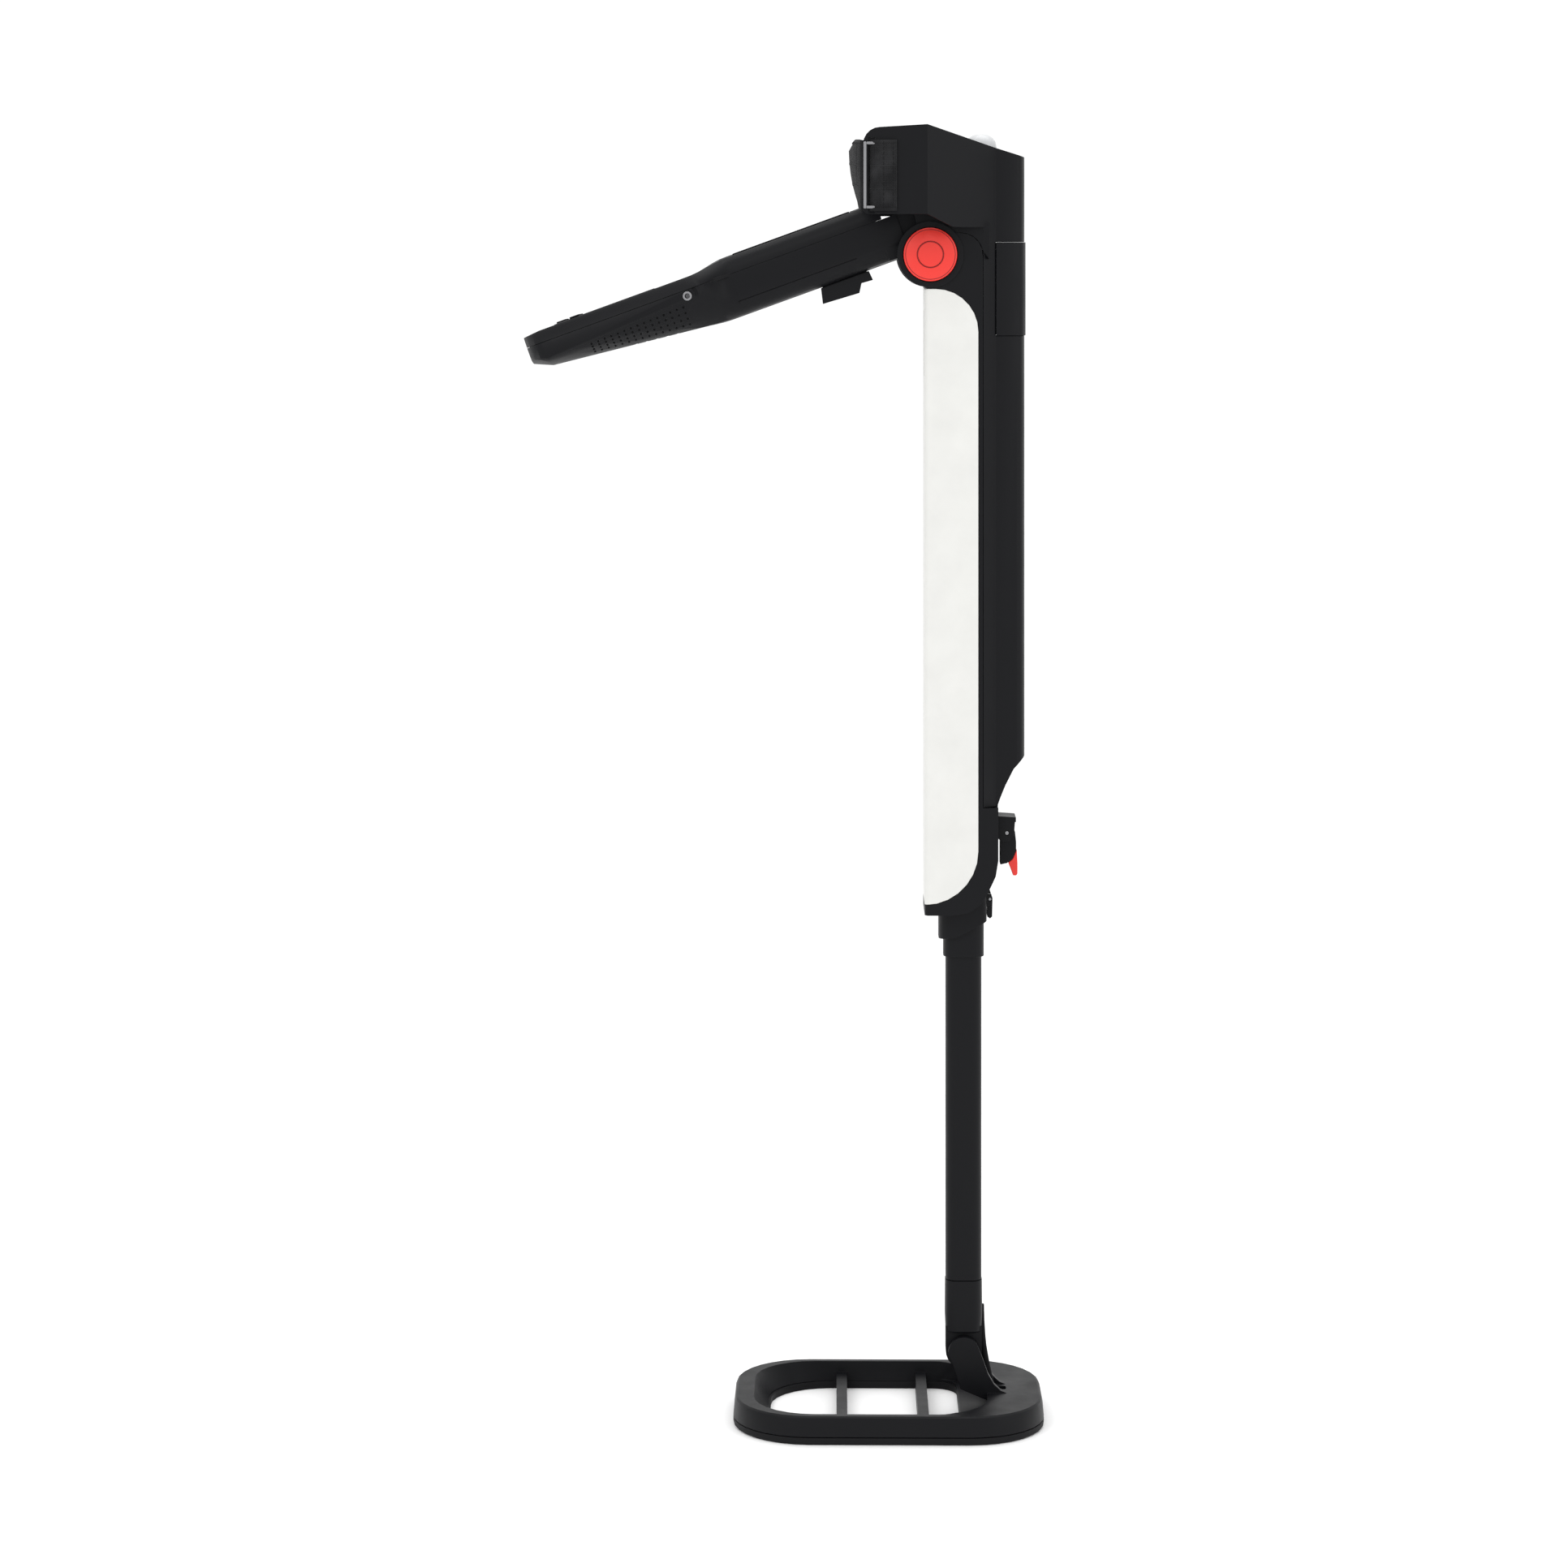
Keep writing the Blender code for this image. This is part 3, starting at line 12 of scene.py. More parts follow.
import bmesh
import bpy
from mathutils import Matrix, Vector

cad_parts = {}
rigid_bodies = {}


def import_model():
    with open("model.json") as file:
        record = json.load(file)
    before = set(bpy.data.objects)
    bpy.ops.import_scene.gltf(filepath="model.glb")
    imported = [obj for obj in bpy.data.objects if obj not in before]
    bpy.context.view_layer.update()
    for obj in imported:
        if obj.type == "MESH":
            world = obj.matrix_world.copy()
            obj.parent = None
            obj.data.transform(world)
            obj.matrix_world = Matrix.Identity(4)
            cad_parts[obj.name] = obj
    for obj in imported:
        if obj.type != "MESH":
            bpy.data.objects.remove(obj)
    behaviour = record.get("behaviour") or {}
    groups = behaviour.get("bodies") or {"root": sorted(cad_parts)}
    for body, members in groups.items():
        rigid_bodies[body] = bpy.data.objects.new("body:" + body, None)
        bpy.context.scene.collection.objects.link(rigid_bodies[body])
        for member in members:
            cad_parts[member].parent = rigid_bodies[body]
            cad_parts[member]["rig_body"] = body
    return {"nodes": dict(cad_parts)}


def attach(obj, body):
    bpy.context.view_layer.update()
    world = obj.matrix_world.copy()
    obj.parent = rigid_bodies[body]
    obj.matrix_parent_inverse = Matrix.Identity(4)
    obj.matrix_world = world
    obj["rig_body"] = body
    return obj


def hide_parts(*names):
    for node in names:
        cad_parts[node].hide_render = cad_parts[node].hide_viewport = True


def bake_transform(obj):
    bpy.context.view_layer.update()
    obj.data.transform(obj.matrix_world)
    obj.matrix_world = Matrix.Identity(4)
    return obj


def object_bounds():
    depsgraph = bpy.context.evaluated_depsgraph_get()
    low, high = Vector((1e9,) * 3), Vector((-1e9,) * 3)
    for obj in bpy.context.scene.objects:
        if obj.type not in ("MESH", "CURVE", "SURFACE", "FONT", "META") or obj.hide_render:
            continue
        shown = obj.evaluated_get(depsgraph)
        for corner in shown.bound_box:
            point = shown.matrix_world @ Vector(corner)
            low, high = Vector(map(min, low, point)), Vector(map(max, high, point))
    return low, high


MM = 0.001

for startup in list(bpy.data.objects):
    bpy.data.objects.remove(startup)

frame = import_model()
CAD_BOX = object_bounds()
NODES = frame["nodes"]
SLOTS = {name: node.data.materials[0].name for name, node in NODES.items()}
SCENE = bpy.context.scene


# ---------- node trees ----------

class Tree:
    """A material's nodes, wired as they are named."""

    def __init__(self, name):
        self.material = bpy.data.materials.new(name)
        self.material.use_nodes = True
        self.nodes = self.material.node_tree.nodes
        self.links = self.material.node_tree.links
        self.shader = self.nodes["Principled BSDF"]
        self.place = self.add("ShaderNodeTexCoord").outputs["Object"]

    def add(self, kind, settings=None, **inputs):
        """A node with its settings set, and its inputs set or linked by name."""
        node = self.nodes.new(kind)
        for key, value in (settings or {}).items():
            setattr(node, key, value)
        for key, value in inputs.items():
            self.feed(node, key.replace("_", " "), value)
        return node

    def feed(self, node, key, value):
        socket = node.inputs[int(key)] if key.isdigit() else node.inputs[key]
        if isinstance(value, bpy.types.NodeSocket):
            self.links.new(value, socket)
        else:
            socket.default_value = value

    def noise(self, scale, detail=2.0, rough=0.5, place=None):
        node = self.add("ShaderNodeTexNoise", Vector=place or self.place, Scale=scale, Detail=detail, Roughness=rough)
        return node.outputs["Fac"]

    def spread(self, value, low, high, start=0.0, end=1.0):
        """value, from start to end, mapped to low to high and held there."""
        node = self.add("ShaderNodeMapRange", {"clamp": True}, Value=value)
        for key, number in (("From Min", start), ("From Max", end), ("To Min", low), ("To Max", high)):
            self.feed(node, key, number)
        return node.outputs["Result"]

    def math(self, operation, a, b=0.0):
        node = self.nodes.new("ShaderNodeMath")
        node.operation = operation
        self.feed(node, "0", a)
        self.feed(node, "1", b)
        return node.outputs[0]

    def blend(self, factor, a, b):
        """Colour a, turning into colour b as factor goes to 1."""
        node = self.nodes.new("ShaderNodeMix")
        node.data_type = "RGBA"
        self.feed(node, "0", factor)
        self.feed(node, "6", a if isinstance(a, bpy.types.NodeSocket) else (*a, 1.0))
        self.feed(node, "7", b if isinstance(b, bpy.types.NodeSocket) else (*b, 1.0))
        return node.outputs[2]

    def bump(self, height, distance, strength=1.0, normal=None):
        node = self.add("ShaderNodeBump", Height=height, Strength=strength, Distance=distance)
        if normal is not None:
            self.feed(node, "Normal", normal)
        return node.outputs["Normal"]

    def edges(self, radius):
        """(rounded normal, how near the point is to an outer edge) from the bevel node."""
        rounded = self.add("ShaderNodeBevel", {"samples": 6}, Radius=radius).outputs["Normal"]
        true = self.add("ShaderNodeNewGeometry").outputs["True Normal"]
        dot = self.nodes.new("ShaderNodeVectorMath")
        dot.operation = "DOT_PRODUCT"
        self.links.new(rounded, dot.inputs[0])
        self.links.new(true, dot.inputs[1])
        return rounded, self.spread(dot.outputs["Value"], 1.0, 0.0, 0.72, 0.985)

    def finish(self, colour, rough, normal, **sockets):
        for key, value in (("Base Color", colour), ("Roughness", rough), ("Normal", normal)):
            self.feed(self.shader, key, value)
        for key, value in sockets.items():
            self.feed(self.shader, key.replace("_", " "), value)
        return self.material


def moulded(name, colour, rough, grain=0.02, grain_scale=2600.0, edge=None, edge_radius=0.5, level=0.3):
    """Injection-moulded plastic: eroded grain, cloudy gloss, and edges made glossier and painted lighter in patches, as
    a painted highlight.
    """
    tree = Tree(name)
    rounded, edge_highlight_mask = tree.edges(edge_radius * MM)
    cloud = tree.noise(38.0, 4.0, 0.6)
    # Painted highlight: the outer edges are painted lighter in patches, and made glossier.
    patchy_edge_highlight = tree.math("MULTIPLY", edge_highlight_mask, tree.spread(tree.noise(160.0, 3.0), 0.15, 1.0, 0.35, 0.65))
    pale = edge or [min(1.0, c * 1.9 + 0.012) for c in colour]
    deep = [c * 0.86 for c in colour]
    tint = tree.blend(tree.math("MULTIPLY", patchy_edge_highlight, 0.7), tree.blend(cloud, deep, colour), pale)
    gloss = tree.spread(cloud, rough - 0.05, rough + 0.06, 0.3, 0.7)
    gloss = tree.math("SUBTRACT", gloss, tree.math("MULTIPLY", patchy_edge_highlight, 0.1))
    height = tree.math("ADD", tree.noise(grain_scale, 2.0), tree.math("MULTIPLY", tree.noise(grain_scale * 0.3), 0.6))
    normal = tree.bump(height, grain * MM, normal=rounded)
    return tree.finish(tint, gloss, normal, Specular_IOR_Level=level)


def metal(name, colour, rough, stretch=(1.0, 1.0, 12.0)):
    """Turned or drawn metal: fine scratches along one way, and a cloudy shine."""
    tree = Tree(name)
    rounded, edge_highlight_mask = tree.edges(0.25 * MM)
    way = tree.add("ShaderNodeMapping", Vector=tree.place, Scale=stretch).outputs["Vector"]
    lines = tree.noise(900.0, 3.0, 0.6, way)
    tint = tree.blend(tree.noise(120.0, 3.0), [c * 0.8 for c in colour], colour)
    # Painted highlight: the outer edges are painted lighter.
    tint = tree.blend(tree.math("MULTIPLY", edge_highlight_mask, 0.4), tint, [min(1.0, c * 1.2) for c in colour])
    gloss = tree.spread(lines, rough - 0.08, rough + 0.12, 0.3, 0.7)
    return tree.finish(tint, gloss, tree.bump(lines, 0.006 * MM, normal=rounded), Metallic=1.0)


def woven(name, colour, pitch=1.1):
    """Nylon webbing: crossed ribs of yarn, with a soft sheen and dusty high spots."""
    tree = Tree(name)
    ribs = []
    for axis in ("X", "Z"):
        wave = tree.add(
            "ShaderNodeTexWave", {"bands_direction": axis}, Vector=tree.place, Scale=0.31 / (pitch * MM),
            Distortion=0.6, Detail=1.0,
        )
        ribs.append(wave.outputs["Fac"])
    height = tree.math("MAXIMUM", ribs[0], tree.math("MULTIPLY", ribs[1], 0.8))
    fuzz = tree.noise(3200.0, 3.0, 0.7)
    height = tree.math("ADD", height, tree.math("MULTIPLY", fuzz, 0.5))
    dust = tree.spread(tree.noise(70.0, 4.0), 0.0, 0.6, 0.45, 0.75)
    # Painted shade: the weave is painted darker where it is low, with some random tone from the fuzz.
    tint = tree.blend(height, [c * 0.5 for c in colour], colour)
    tint = tree.blend(dust, tint, [c * 2.2 + 0.012 for c in colour])
    normal = tree.bump(height, 0.4 * MM, 1.0)
    gloss = tree.spread(fuzz, 0.72, 0.95)
    return tree.finish(tint, gloss, normal, Sheen_Weight=0.04, Sheen_Roughness=0.5, Specular_IOR_Level=0.1)


def frosted(name, colour):
    """Milky silicone: soft, a little see-through, with a fine skin."""
    tree = Tree(name)
    rounded, _ = tree.edges(0.5 * MM)
    cloud = tree.noise(90.0, 4.0)
    tint = tree.blend(cloud, [c * 0.86 for c in colour], colour)
    normal = tree.bump(tree.noise(1500.0, 3.0), 0.01 * MM, normal=rounded)
    return tree.finish(
        tint, tree.spread(cloud, 0.28, 0.42), normal, Coat_Weight=0.2,
    )


def smoked(name):
    """The glossy tinted window of the pod, with hairline scuffs."""
    tree = Tree(name)
    scuffs = tree.noise(260.0, 6.0, 0.75)
    tint = tree.blend(scuffs, (0.006, 0.006, 0.008), (0.012, 0.013, 0.016))
    gloss = tree.spread(scuffs, 0.06, 0.2, 0.45, 0.75)
    return tree.finish(tint, gloss, tree.bump(scuffs, 0.002 * MM), Coat_Weight=0.4)


def wound_wire(name, colour):
    """Enamelled wire, turn on turn."""
    tree = Tree(name)
    turns = tree.add(
        "ShaderNodeTexWave", {"bands_direction": "Z"}, Vector=tree.place, Scale=900.0, Distortion=0.3,
    ).outputs["Fac"]
    # Painted shade: the grooves between the turns are painted darker.
    tint = tree.blend(turns, [c * 0.35 for c in colour], colour)
    return tree.finish(tint, tree.spread(turns, 0.5, 0.3), tree.bump(turns, 0.1 * MM), Metallic=0.8)


BLACK = (0.0046, 0.0048, 0.006)
FINISHES = {
    "black_plastic": moulded("finish_black", BLACK, 0.42, level=0.14),
    "dark_plastic": moulded("finish_dark", (0.008, 0.008, 0.009), 0.55, grain=0.03, level=0.12),
    "white_plastic": moulded(
        "finish_white", (0.71, 0.71, 0.685), 0.42, grain=0.012, edge=(0.78, 0.78, 0.75), level=0.3
    ),
    "red_plastic": moulded("finish_red", (0.8, 0.036, 0.026), 0.38, grain=0.01, edge=(0.9, 0.12, 0.1), level=0.4),
    "steel": metal("finish_steel", (0.3, 0.3, 0.31), 0.36),
    "copper_wire": wound_wire("finish_copper", (0.72, 0.3, 0.13)),
    "soft_rubber": moulded("finish_rubber", (0.007, 0.007, 0.008), 0.72, grain=0.05, grain_scale=1800.0, level=0.12),
    "frosted_cap": frosted("finish_frosted", (0.56, 0.57, 0.58)),
    "webbing": woven("finish_webbing", (0.013, 0.013, 0.014)),
    "board_green": moulded("finish_board", (0.015, 0.12, 0.05), 0.4, edge=(0.3, 0.28, 0.1), grain_scale=900.0),
    "window_smoke": smoked("finish_window"),
    "cell_wrap": moulded("finish_cell", (0.25, 0.26, 0.29), 0.3, edge=(0.6, 0.6, 0.6)),
    "nylon": moulded("finish_nylon", (0.72, 0.71, 0.66), 0.5, edge=(0.8, 0.8, 0.76)),
}


# ---------- mesh helpers ----------

def piece(name, mesh, slot, body, smooth=True, finish=None):
    """A mesh as a piece of the model, riding on a body, with the finish of a material slot."""
    obj = bpy.data.objects.new(name, mesh)
    SCENE.collection.objects.link(obj)
    mesh.materials.append(finish or FINISHES[slot])
    mesh.polygons.foreach_set("use_smooth", [smooth] * len(mesh.polygons))
    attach(obj, body)
    return obj


def mesh_of(name, bm):
    bmesh.ops.recalc_face_normals(bm, faces=bm.faces)
    mesh = bpy.data.meshes.new(name)
    bm.to_mesh(mesh)
    bm.free()
    return mesh


def skinned(name, rings):
    """A closed mesh through rings of the same number of points, with its two ends filled."""
    bm = bmesh.new()
    rows = [[bm.verts.new(point) for point in ring] for ring in rings]
    count = len(rows[0])
    for a, b in zip(rows, rows[1:]):
        for i in range(count):
            j = (i + 1) % count
            bm.faces.new((a[i], a[j], b[j], b[i]))
    bm.faces.new(rows[0])
    bm.faces.new(reversed(rows[-1]))
    return mesh_of(name, bm)


def rounded(obj, width, segments=2, angle=32.0):
    """Its sharp edges rounded to width millimetres."""
    soft = obj.modifiers.new("rounded_edges", "BEVEL")
    soft.width = width * MM
    soft.segments = segments
    soft.limit_method = "ANGLE"
    soft.angle_limit = radians(angle)
    soft.harden_normals = True
    return obj


def carve(obj, cutter_mesh):
    """Cuts the closed cutter out of the piece, and drops the cutter."""
    cutter = bpy.data.objects.new("cutter", cutter_mesh)
    SCENE.collection.objects.link(cutter)
    cutting = obj.modifiers.new("carve", "BOOLEAN")
    cutting.object = cutter
    cutting.solver = "EXACT"
    bpy.context.view_layer.update()
    result = bpy.data.meshes.new_from_object(obj.evaluated_get(bpy.context.evaluated_depsgraph_get()))
    obj.modifiers.clear()
    obj.data = result
    bpy.data.objects.remove(cutter)


def refined(node, width=0.35, cutter=None):
    """A finished copy of a CAD node: its flats joined up, its sharp edges rounded, its curves shaded smooth."""
    source = NODES[node].data
    if cutter is not None:
        blank = bpy.data.objects.new("blank", source.copy())
        SCENE.collection.objects.link(blank)
        carve(blank, cutter)
        source = blank.data
        bpy.data.objects.remove(blank)
    bm = bmesh.new()
    bm.from_mesh(source)
    bmesh.ops.remove_doubles(bm, verts=bm.verts, dist=0.002 * MM)
    bmesh.ops.dissolve_limit(bm, angle_limit=radians(0.7), verts=bm.verts, edges=bm.edges)
    plain = bpy.data.meshes.new(node + "_finish")
    corners = [[v.index for v in face.verts] for face in bm.faces]
    plain.from_pydata([v.co for v in bm.verts], [], corners)
    bm.free()
    copy = piece(node + "_finish", plain, SLOTS[node], NODES[node]["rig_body"])
    rounded(copy, width)
    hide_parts(node)
    return copy


def curve_through(points, steps):
    """Points evenly along each span of a Catmull-Rom curve through the given ones."""
    ends = [points[0] * 2 - points[1], *points, points[-1] * 2 - points[-2]]
    line = []
    for a, b, c, d in zip(ends, ends[1:], ends[2:], ends[3:]):
        for i in range(steps):
            t = i / steps
            line.append(
                0.5 * (2 * b + (c - a) * t + (2 * a - 5 * b + 4 * c - d) * t * t + (3 * b - a - 3 * c + d) * t ** 3)
            )
    return [*line, points[-1]]


def pipe(name, line, radii, sides=16):
    """A round tube along a line in space, with a radius for each point."""
    rings = []
    side = Vector((0.0, 1.0, 0.0))
    for i, centre in enumerate(line):
        way = (line[min(i + 1, len(line) - 1)] - line[max(i - 1, 0)]).normalized()
        across = (side - way * side.dot(way)).normalized()
        up = way.cross(across)
        turn = [2 * pi * k / sides for k in range(sides)]
        rings.append([centre + (across * cos(a) + up * sin(a)) * radii[i] for a in turn])
    return skinned(name, rings)


# ---------- finished copies of the CAD ----------

INSIDE = {
    "transmit_winding", "receive_winding", "battery_cell_1", "battery_cell_2", "battery_cell_3", "battery_cell_4",
    "battery_tray", "contact_plate_low", "contact_plate_top", "display_panel", "main_board", "key_mat", "speaker",
    "lock_dog", "lock_spring", "shaft_glide", "upper_lock_shoe",
}
REMADE = {"coil_lead", "strap"}

def box_of(node):
    """The CAD node's lowest and highest corners, in millimetres."""
    corners = [NODES[node].matrix_world @ v.co / MM for v in NODES[node].data.vertices]
    return [Vector(pick(p[i] for p in corners) for i in range(3)) for pick in (min, max)]


FOLD = sum(box_of("lock_button"), Vector()) / 2
ARM_LEAN = radians(20)
SPLIT = 32.6  # height of the seam between the arm's two shells
SOCKET = (158.0, 28.7)
HOLE_COLUMNS = 15
HOLE_PITCH = 4.6
HOLE_START = 163.0
HOLE_ROWS = (0.22, 0.42, 0.62, 0.82)
HOLE_RADIUS = 0.75
ARM_OUT = Vector((-cos(ARM_LEAN), 0.0, -sin(ARM_LEAN)))
ARM_UP = Vector((-sin(ARM_LEAN), 0.0, cos(ARM_LEAN)))


def on_arm(u, y, v):
    """A place on the arm, u out along it and v up from its fold axis, in millimetres."""
    return (Vector((FOLD.x, y, FOLD.z)) + ARM_OUT * u + ARM_UP * v) * MM


def add_prism(bm, outline, y_from, y_to):
    """A closed prism across the arm, with its outline in (u, v)."""
    rows = [[bm.verts.new(on_arm(u, y, v)) for u, v in outline] for y in (y_from, y_to)]
    for i in range(len(outline)):
        j = (i + 1) % len(outline)
        bm.faces.new((rows[0][i], rows[0][j], rows[1][j], rows[1][i]))
    bm.faces.new(rows[0])
    bm.faces.new(rows[1][::-1])


def speaker_face(u, share):
    """(v, half width) of the wedge below the pod, share of the way up its slope at u."""
    edge = min(27.0, 20.7 + max(0.0, 260.0 - u) * 0.056)
    belly = min(edge - 2.2, 3.9 + max(0.0, u - 137.0) * 0.102)
    half = 20.0 + (share - 0.2) / 0.36 * 6.5 if share < 0.56 else 26.5 + (share - 0.56) / 0.41 * 4.5
    return belly + (edge - belly) * share, half


def lower_arm_cuts():
    """Speaker holes in the wedge's two slopes, the thumb notch by the socket, and the grip panel's outline."""
    bm = bmesh.new()
    for column in range(HOLE_COLUMNS):
        u = HOLE_START + HOLE_PITCH * column
        for share in HOLE_ROWS:
            v, half = speaker_face(u, share)
            hole = [(u + HOLE_RADIUS * cos(pi * k / 4), v + HOLE_RADIUS * sin(pi * k / 4)) for k in range(8)]
            for side in (-1, 1):
                add_prism(bm, hole, side * (half - 1.1), side * (half + 3.0))
    notch = [
        (SOCKET[0] + r * cos(radians(a)), SOCKET[1] + r * sin(radians(a)))
        for r, sweep in ((7.4, range(120, 241, 12)), (5.2, range(240, 119, -12))) for a in sweep
    ]
    add_prism(bm, notch, -34.0, -30.6)
    for side in (-1, 1):
        add_prism(bm, [(46.0, 13.7), (127.4, 13.7), (127.4, 14.3), (46.0, 14.3)], side * 16.2 - 0.9, side * 16.2 + 0.9)
        add_prism(bm, [(127.5, 2.0), (128.3, 2.0), (128.3, 14.3), (127.5, 14.3)], side * 16.2 - 0.9, side * 16.2 + 0.9)
    return mesh_of("lower_arm_cuts", bm)


CUTS = {"arm_lower_shell": lower_arm_cuts()}

for name, node in NODES.items():
    node.data.materials[0] = FINISHES[SLOTS[name]]
    if name not in INSIDE | REMADE:
        refined(name, cutter=CUTS.get(name))


# ---------- strap, cable and small details ----------

def bar(name, outline, y_from, y_to, slot, body, soft=0.2, finish=None):
    """A flat-sided piece with an outline seen from the side, (x, z) in millimetres."""
    rings = [[Vector((x, y, z)) * MM for x, z in outline] for y in (y_from, y_to)]
    return rounded(piece(name, skinned(name, rings), slot, body, False, finish), soft)


def disc(x, z, radius, sides=28, start=0.0, sweep=360.0):
    steps = sides if sweep >= 360.0 else sides + 1
    turn = [radians(start + sweep * k / sides) for k in range(steps)]
    return [(x + radius * cos(a), z + radius * sin(a)) for a in turn]


def ring_piece(name, x, z, radius, wire, y, slot, body, finish=None, sides=40):
    """A fine moulded ring standing in the plane of the housing's side."""
    bm = bmesh.new()
    rows = []
    for k in range(sides):
        a = 2 * pi * k / sides
        row = []
        for m in range(8):
            b = 2 * pi * m / 8
            r = radius + wire * cos(b)
            row.append(bm.verts.new(Vector((x + r * cos(a), y + wire * sin(b), z + r * sin(a))) * MM))
        rows.append(row)
    for k in range(sides):
        a, b = rows[k], rows[(k + 1) % sides]
        for m in range(8):
            n = (m + 1) % 8
            bm.faces.new((a[m], a[n], b[n], b[m]))
    return piece(name, mesh_of(name, bm), slot, body, True, finish)


STRAP_HIGH = box_of("strap")[1]
WING_LOW = box_of("rear_shell_cuff")[0]
STRAP_FOOT = 791.9
STRAP_HEAD = 837.7


def strap_line():
    """The webbing seen from above: near wing, through its slot, and round in front to the mirror plane."""
    edge = -STRAP_HIGH.y + 0.8
    slot = WING_LOW.x + 5.0
    inside = edge + 6.1
    return [
        (WING_LOW.x + 21.8, edge), (slot + 8.0, edge), (slot + 2.6, edge), (slot + 0.7, edge + 0.8), (slot, edge + 2.4),
        (slot, inside - 1.4), (slot - 1.4, inside + 0.4), (WING_LOW.x - 1.0, inside + 1.6), (WING_LOW.x - 3.2, -48.0),
        (WING_LOW.x - 5.0, -42.0), (WING_LOW.x - 7.6, -24.0), (WING_LOW.x - 8.4, 0.0),
    ]


def ribbon(name, low_from, low_to, half, slot):
    """A band along the strap's line, from low_from to low_to of its height, leaning out with it."""
    half_line = strap_line()
    flat = half_line + [(x, -y) for x, y in reversed(half_line[:-1])]
    line = curve_through([Vector((x, y, 0.0)) for x, y in flat], 5)
    rings = []
    for i, spot in enumerate(line):
        way = (line[min(i + 1, len(line) - 1)] - line[max(i - 1, 0)]).normalized()
        across = Vector((-way.y, way.x, 0.0)) * half
        out = max(0.0, WING_LOW.x - 1.0 - spot.x)
        low = STRAP_FOOT + 0.7 * out
        top = STRAP_HEAD + 0.2 * out
        ring = []
        shares = [low_from + (low_to - low_from) * k / 6 for k in range(7)]
        for share, side in [(share, 1) for share in shares[::-1]] + [(share, -1) for share in shares]:
            lean = out * (0.9 * (1.0 - share) ** 2.6 + 0.5 * max(0.0, share - 0.82) ** 2 / 0.03)
            ring.append((spot + across * side + Vector((lean, 0.0, low + (top - low) * share))) * MM)
        rings.append(ring)
    return piece(name, skinned(name, rings), slot, "housing")


webbing = ribbon("strap_webbing", 0.0, 1.0, 0.62, "webbing")
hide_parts("strap")
for count, (start, end) in enumerate(((0.0, 0.045), (0.3, 0.33), (0.62, 0.65), (0.955, 1.0))):
    rounded(ribbon(f"strap_rib_{count}", start, end, 0.78, "webbing"), 0.1)

near = -STRAP_HIGH.y
loop_x = WING_LOW.x + 1.2
bar("strap_loop_upright", [
    (loop_x - 0.9, 793.5), (loop_x + 1.0, 793.5), (loop_x + 1.0, 836.5), (loop_x - 0.9, 836.5)
], near + 0.1, near + 1.9, "steel", "housing", 0.4)
for count, z in enumerate((793.5, 834.7)):
    bar(f"strap_loop_arm_{count}", [
        (loop_x + 1.0, z), (loop_x + 7.4, z), (loop_x + 7.4, z + 1.8), (loop_x + 1.0, z + 1.8)
    ], near + 0.2, near + 1.4, "steel", "housing", 0.4)

for row, x in enumerate((WING_LOW.x + 13.2, WING_LOW.x + 19.4)):
    for count in range(13):
        z = 795.0 + 3.3 * count
        bar(f"stitch_{row}_{count}", [(x - 0.25, z), (x + 0.25, z), (x + 0.25, z + 2.1), (x - 0.25, z + 2.1)],
            near - 0.02, near + 0.5, "dark_plastic", "housing", 0.1)

lead = [Vector(p) * MM for p in (
    (11.6, 0.0, 73.0), (11.8, 0.0, 66.0), (12.1, 0.0, 59.0), (13.2, 0.0, 46.0), (15.9, 0.0, 31.0), (19.9, 0.0, 14.0)
)]
lead_line = curve_through(lead, 8)
cable = piece("coil_cable", pipe("coil_cable", lead_line, [2.05 * MM] * len(lead_line)), "soft_rubber", "coil")
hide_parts("coil_lead")
cable.parent = None
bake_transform(cable)

BUTTON_LOW, BUTTON_HIGH = box_of("lock_button")
BUTTON = (BUTTON_LOW + BUTTON_HIGH) / 2
FACE = BUTTON_LOW.y
DEEP_RED = moulded("finish_deep_red", (0.22, 0.008, 0.008), 0.45, grain=0.01, level=0.3)
ring_piece("button_ring", BUTTON.x, BUTTON.z, 8.5, 0.42, FACE + 0.12, "red_plastic", "lock_button", DEEP_RED)
ring_piece("button_rim", BUTTON.x, BUTTON.z, 16.2, 0.3, FACE + 0.2, "red_plastic", "lock_button", DEEP_RED)
bar("lock_sign_body", [
    (BUTTON.x - 3.0, BUTTON.z - 3.6), (BUTTON.x + 3.0, BUTTON.z - 3.6), (BUTTON.x + 3.0, BUTTON.z + 0.6),
    (BUTTON.x - 3.0, BUTTON.z + 0.6)
], FACE + 0.02, FACE + 0.8, "red_plastic", "lock_button", 0.2, DEEP_RED)
outer = disc(BUTTON.x, BUTTON.z + 0.4, 2.5, 12, 0.0, 180.0)
inner = disc(BUTTON.x, BUTTON.z + 0.4, 1.7, 12, 0.0, 180.0)
bar("lock_sign_shackle", outer + inner[::-1], FACE + 0.02, FACE + 0.8, "red_plastic", "lock_button", 0.1, DEEP_RED)


def arm_plan(name, outline, v_from, v_to, slot):
    """A plate inside the arm, with its outline in (u, y)."""
    rings = [[on_arm(u, y, v) for u, y in outline] for v in (v_from, v_to)]
    return rounded(piece(name, skinned(name, rings), slot, "arm", False), 0.1)


for side in (-1, 1):
    rim = [(26.0, 14.6), (126.0, 14.6), (141.0, 21.8), (154.0, 29.4), (256.0, 29.4)]
    wall = [(u, side * (y + 1.5)) for u, y in rim]
    tongue = wall + [(u, side * y) for u, y in rim[::-1]]
    arm_plan(f"arm_seam_tongue_{'near' if side < 0 else 'far'}", tongue, SPLIT - 1.2, SPLIT + 1.2, "dark_plastic")

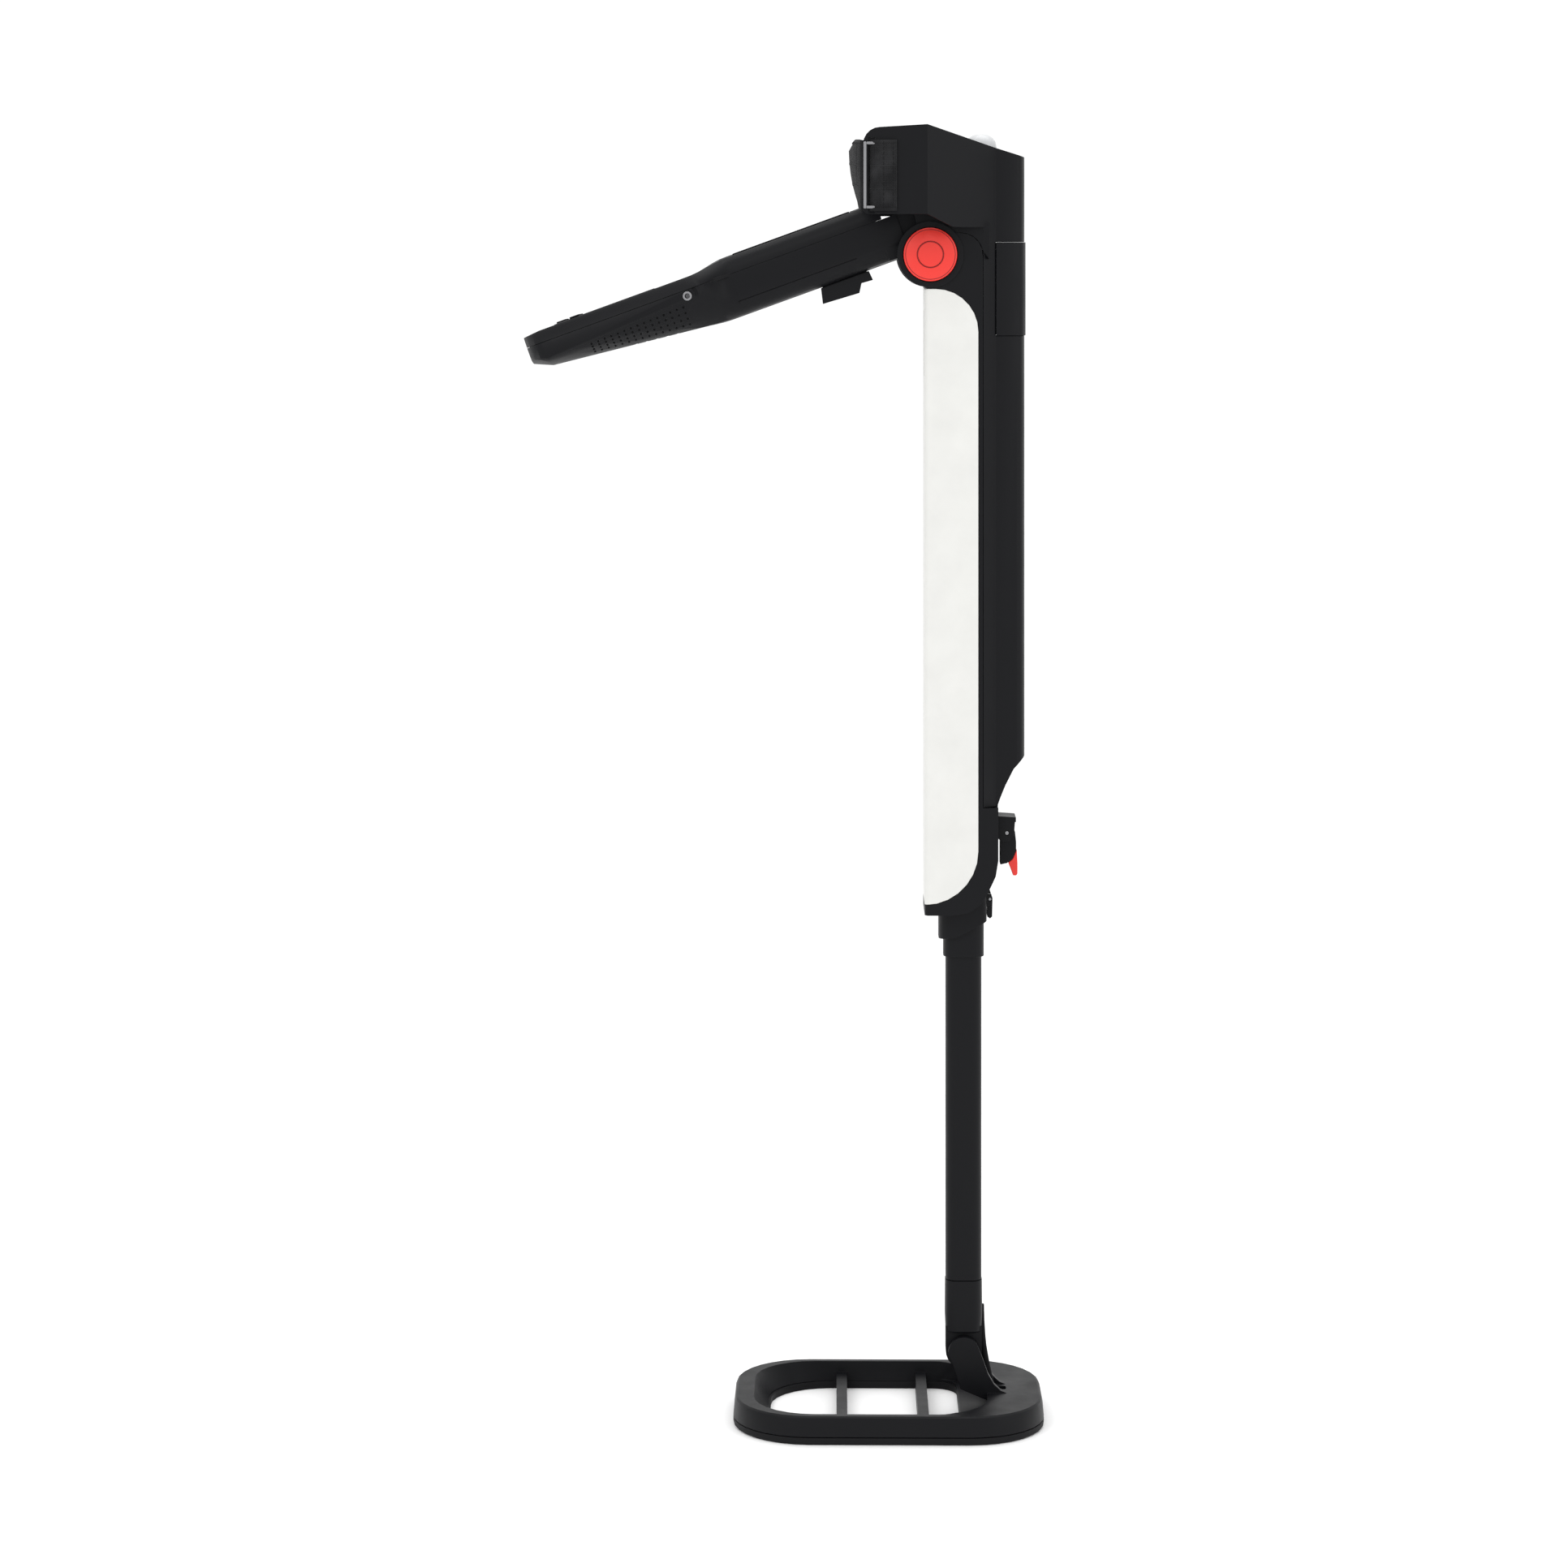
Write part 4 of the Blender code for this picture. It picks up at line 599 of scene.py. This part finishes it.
hook_bm = bmesh.new()
add_prism(hook_bm, [(42.5, 3.3), (73.5, 3.3), (73.5, 4.4), (42.5, 4.4)], -4.4, 4.4)
rounded(piece("hook_seat", mesh_of("hook_seat", hook_bm), "dark_plastic", "arm", False), 0.05)

for side in (-1, 1):
    y_from, y_to = sorted((side * 21.0, side * 24.6))
    web = [(-31.0, 783.4), (-24.0, 784.6), (-13.0, 779.0), (-3.0, 777.0), (-3.0, 782.6), (-8.0, 783.0), (-25.0, 790.8),
           (-33.0, 791.0)]
    bar(f"hinge_web_{'near' if side < 0 else 'far'}", web, y_from, y_to, "black_plastic", "housing", 0.2)


# ---------- camera, floor and light ----------

def aimed(obj, target):
    obj.rotation_euler = (Vector(target) - obj.location).to_track_quat("-Z", "Y").to_euler()


def soft_box(name, place, target, size, power, colour=(1.0, 1.0, 1.0)):
    lamp = bpy.data.lights.new(name, "AREA")
    lamp.shape = "RECTANGLE"
    lamp.size, lamp.size_y = size
    lamp.energy = power
    lamp.color = colour
    obj = bpy.data.objects.new(name, lamp)
    obj.location = place
    SCENE.collection.objects.link(obj)
    aimed(obj, target)


def studio():
    low, high = CAD_BOX
    middle = (low + high) / 2
    camera = bpy.data.objects.new("camera", bpy.data.cameras.new("camera"))
    SCENE.collection.objects.link(camera)
    camera.data.lens = 90.25
    camera.data.sensor_width = 36.0
    camera.data.shift_y = -0.329
    camera.location = (-0.086, -2.59, 0.7551)
    aimed(camera, camera.location + Vector((-0.0124, 0.99992, 0.0)))
    SCENE.camera = camera

    soft_box("key_light", (-1.4, -1.9, 2.1), middle, (1.2, 1.2), 15.0)
    soft_box("fill_light", (1.9, -1.3, 1.2), middle, (1.0, 1.6), 6.0)
    soft_box("top_light", (0.1, 0.3, 2.3), middle, (1.4, 1.4), 12.0)

    world = bpy.data.worlds.new("studio")
    world.use_nodes = True
    world.node_tree.nodes["Background"].inputs["Color"].default_value = (1.0, 1.0, 1.0, 1.0)
    world.node_tree.nodes["Background"].inputs["Strength"].default_value = 1.06
    SCENE.world = world
    SCENE.view_settings.view_transform = "Standard"

    bm = bmesh.new()
    reach = 4.0
    corners = [(-reach, -reach), (reach, -reach), (reach, reach), (-reach, reach)]
    bm.faces.new([bm.verts.new((x, y, low.z - 0.05 * MM)) for x, y in corners])
    floor = bpy.data.objects.new("floor", mesh_of("floor", bm))
    SCENE.collection.objects.link(floor)
    pale = Tree("pale_floor")
    speckle = pale.noise(400.0, 3.0)
    tint = pale.blend(speckle, (0.96, 0.96, 0.96), (0.98, 0.98, 0.98))
    floor.data.materials.append(pale.finish(tint, pale.spread(speckle, 0.85, 0.95), pale.bump(speckle, 0.01 * MM)))


studio()
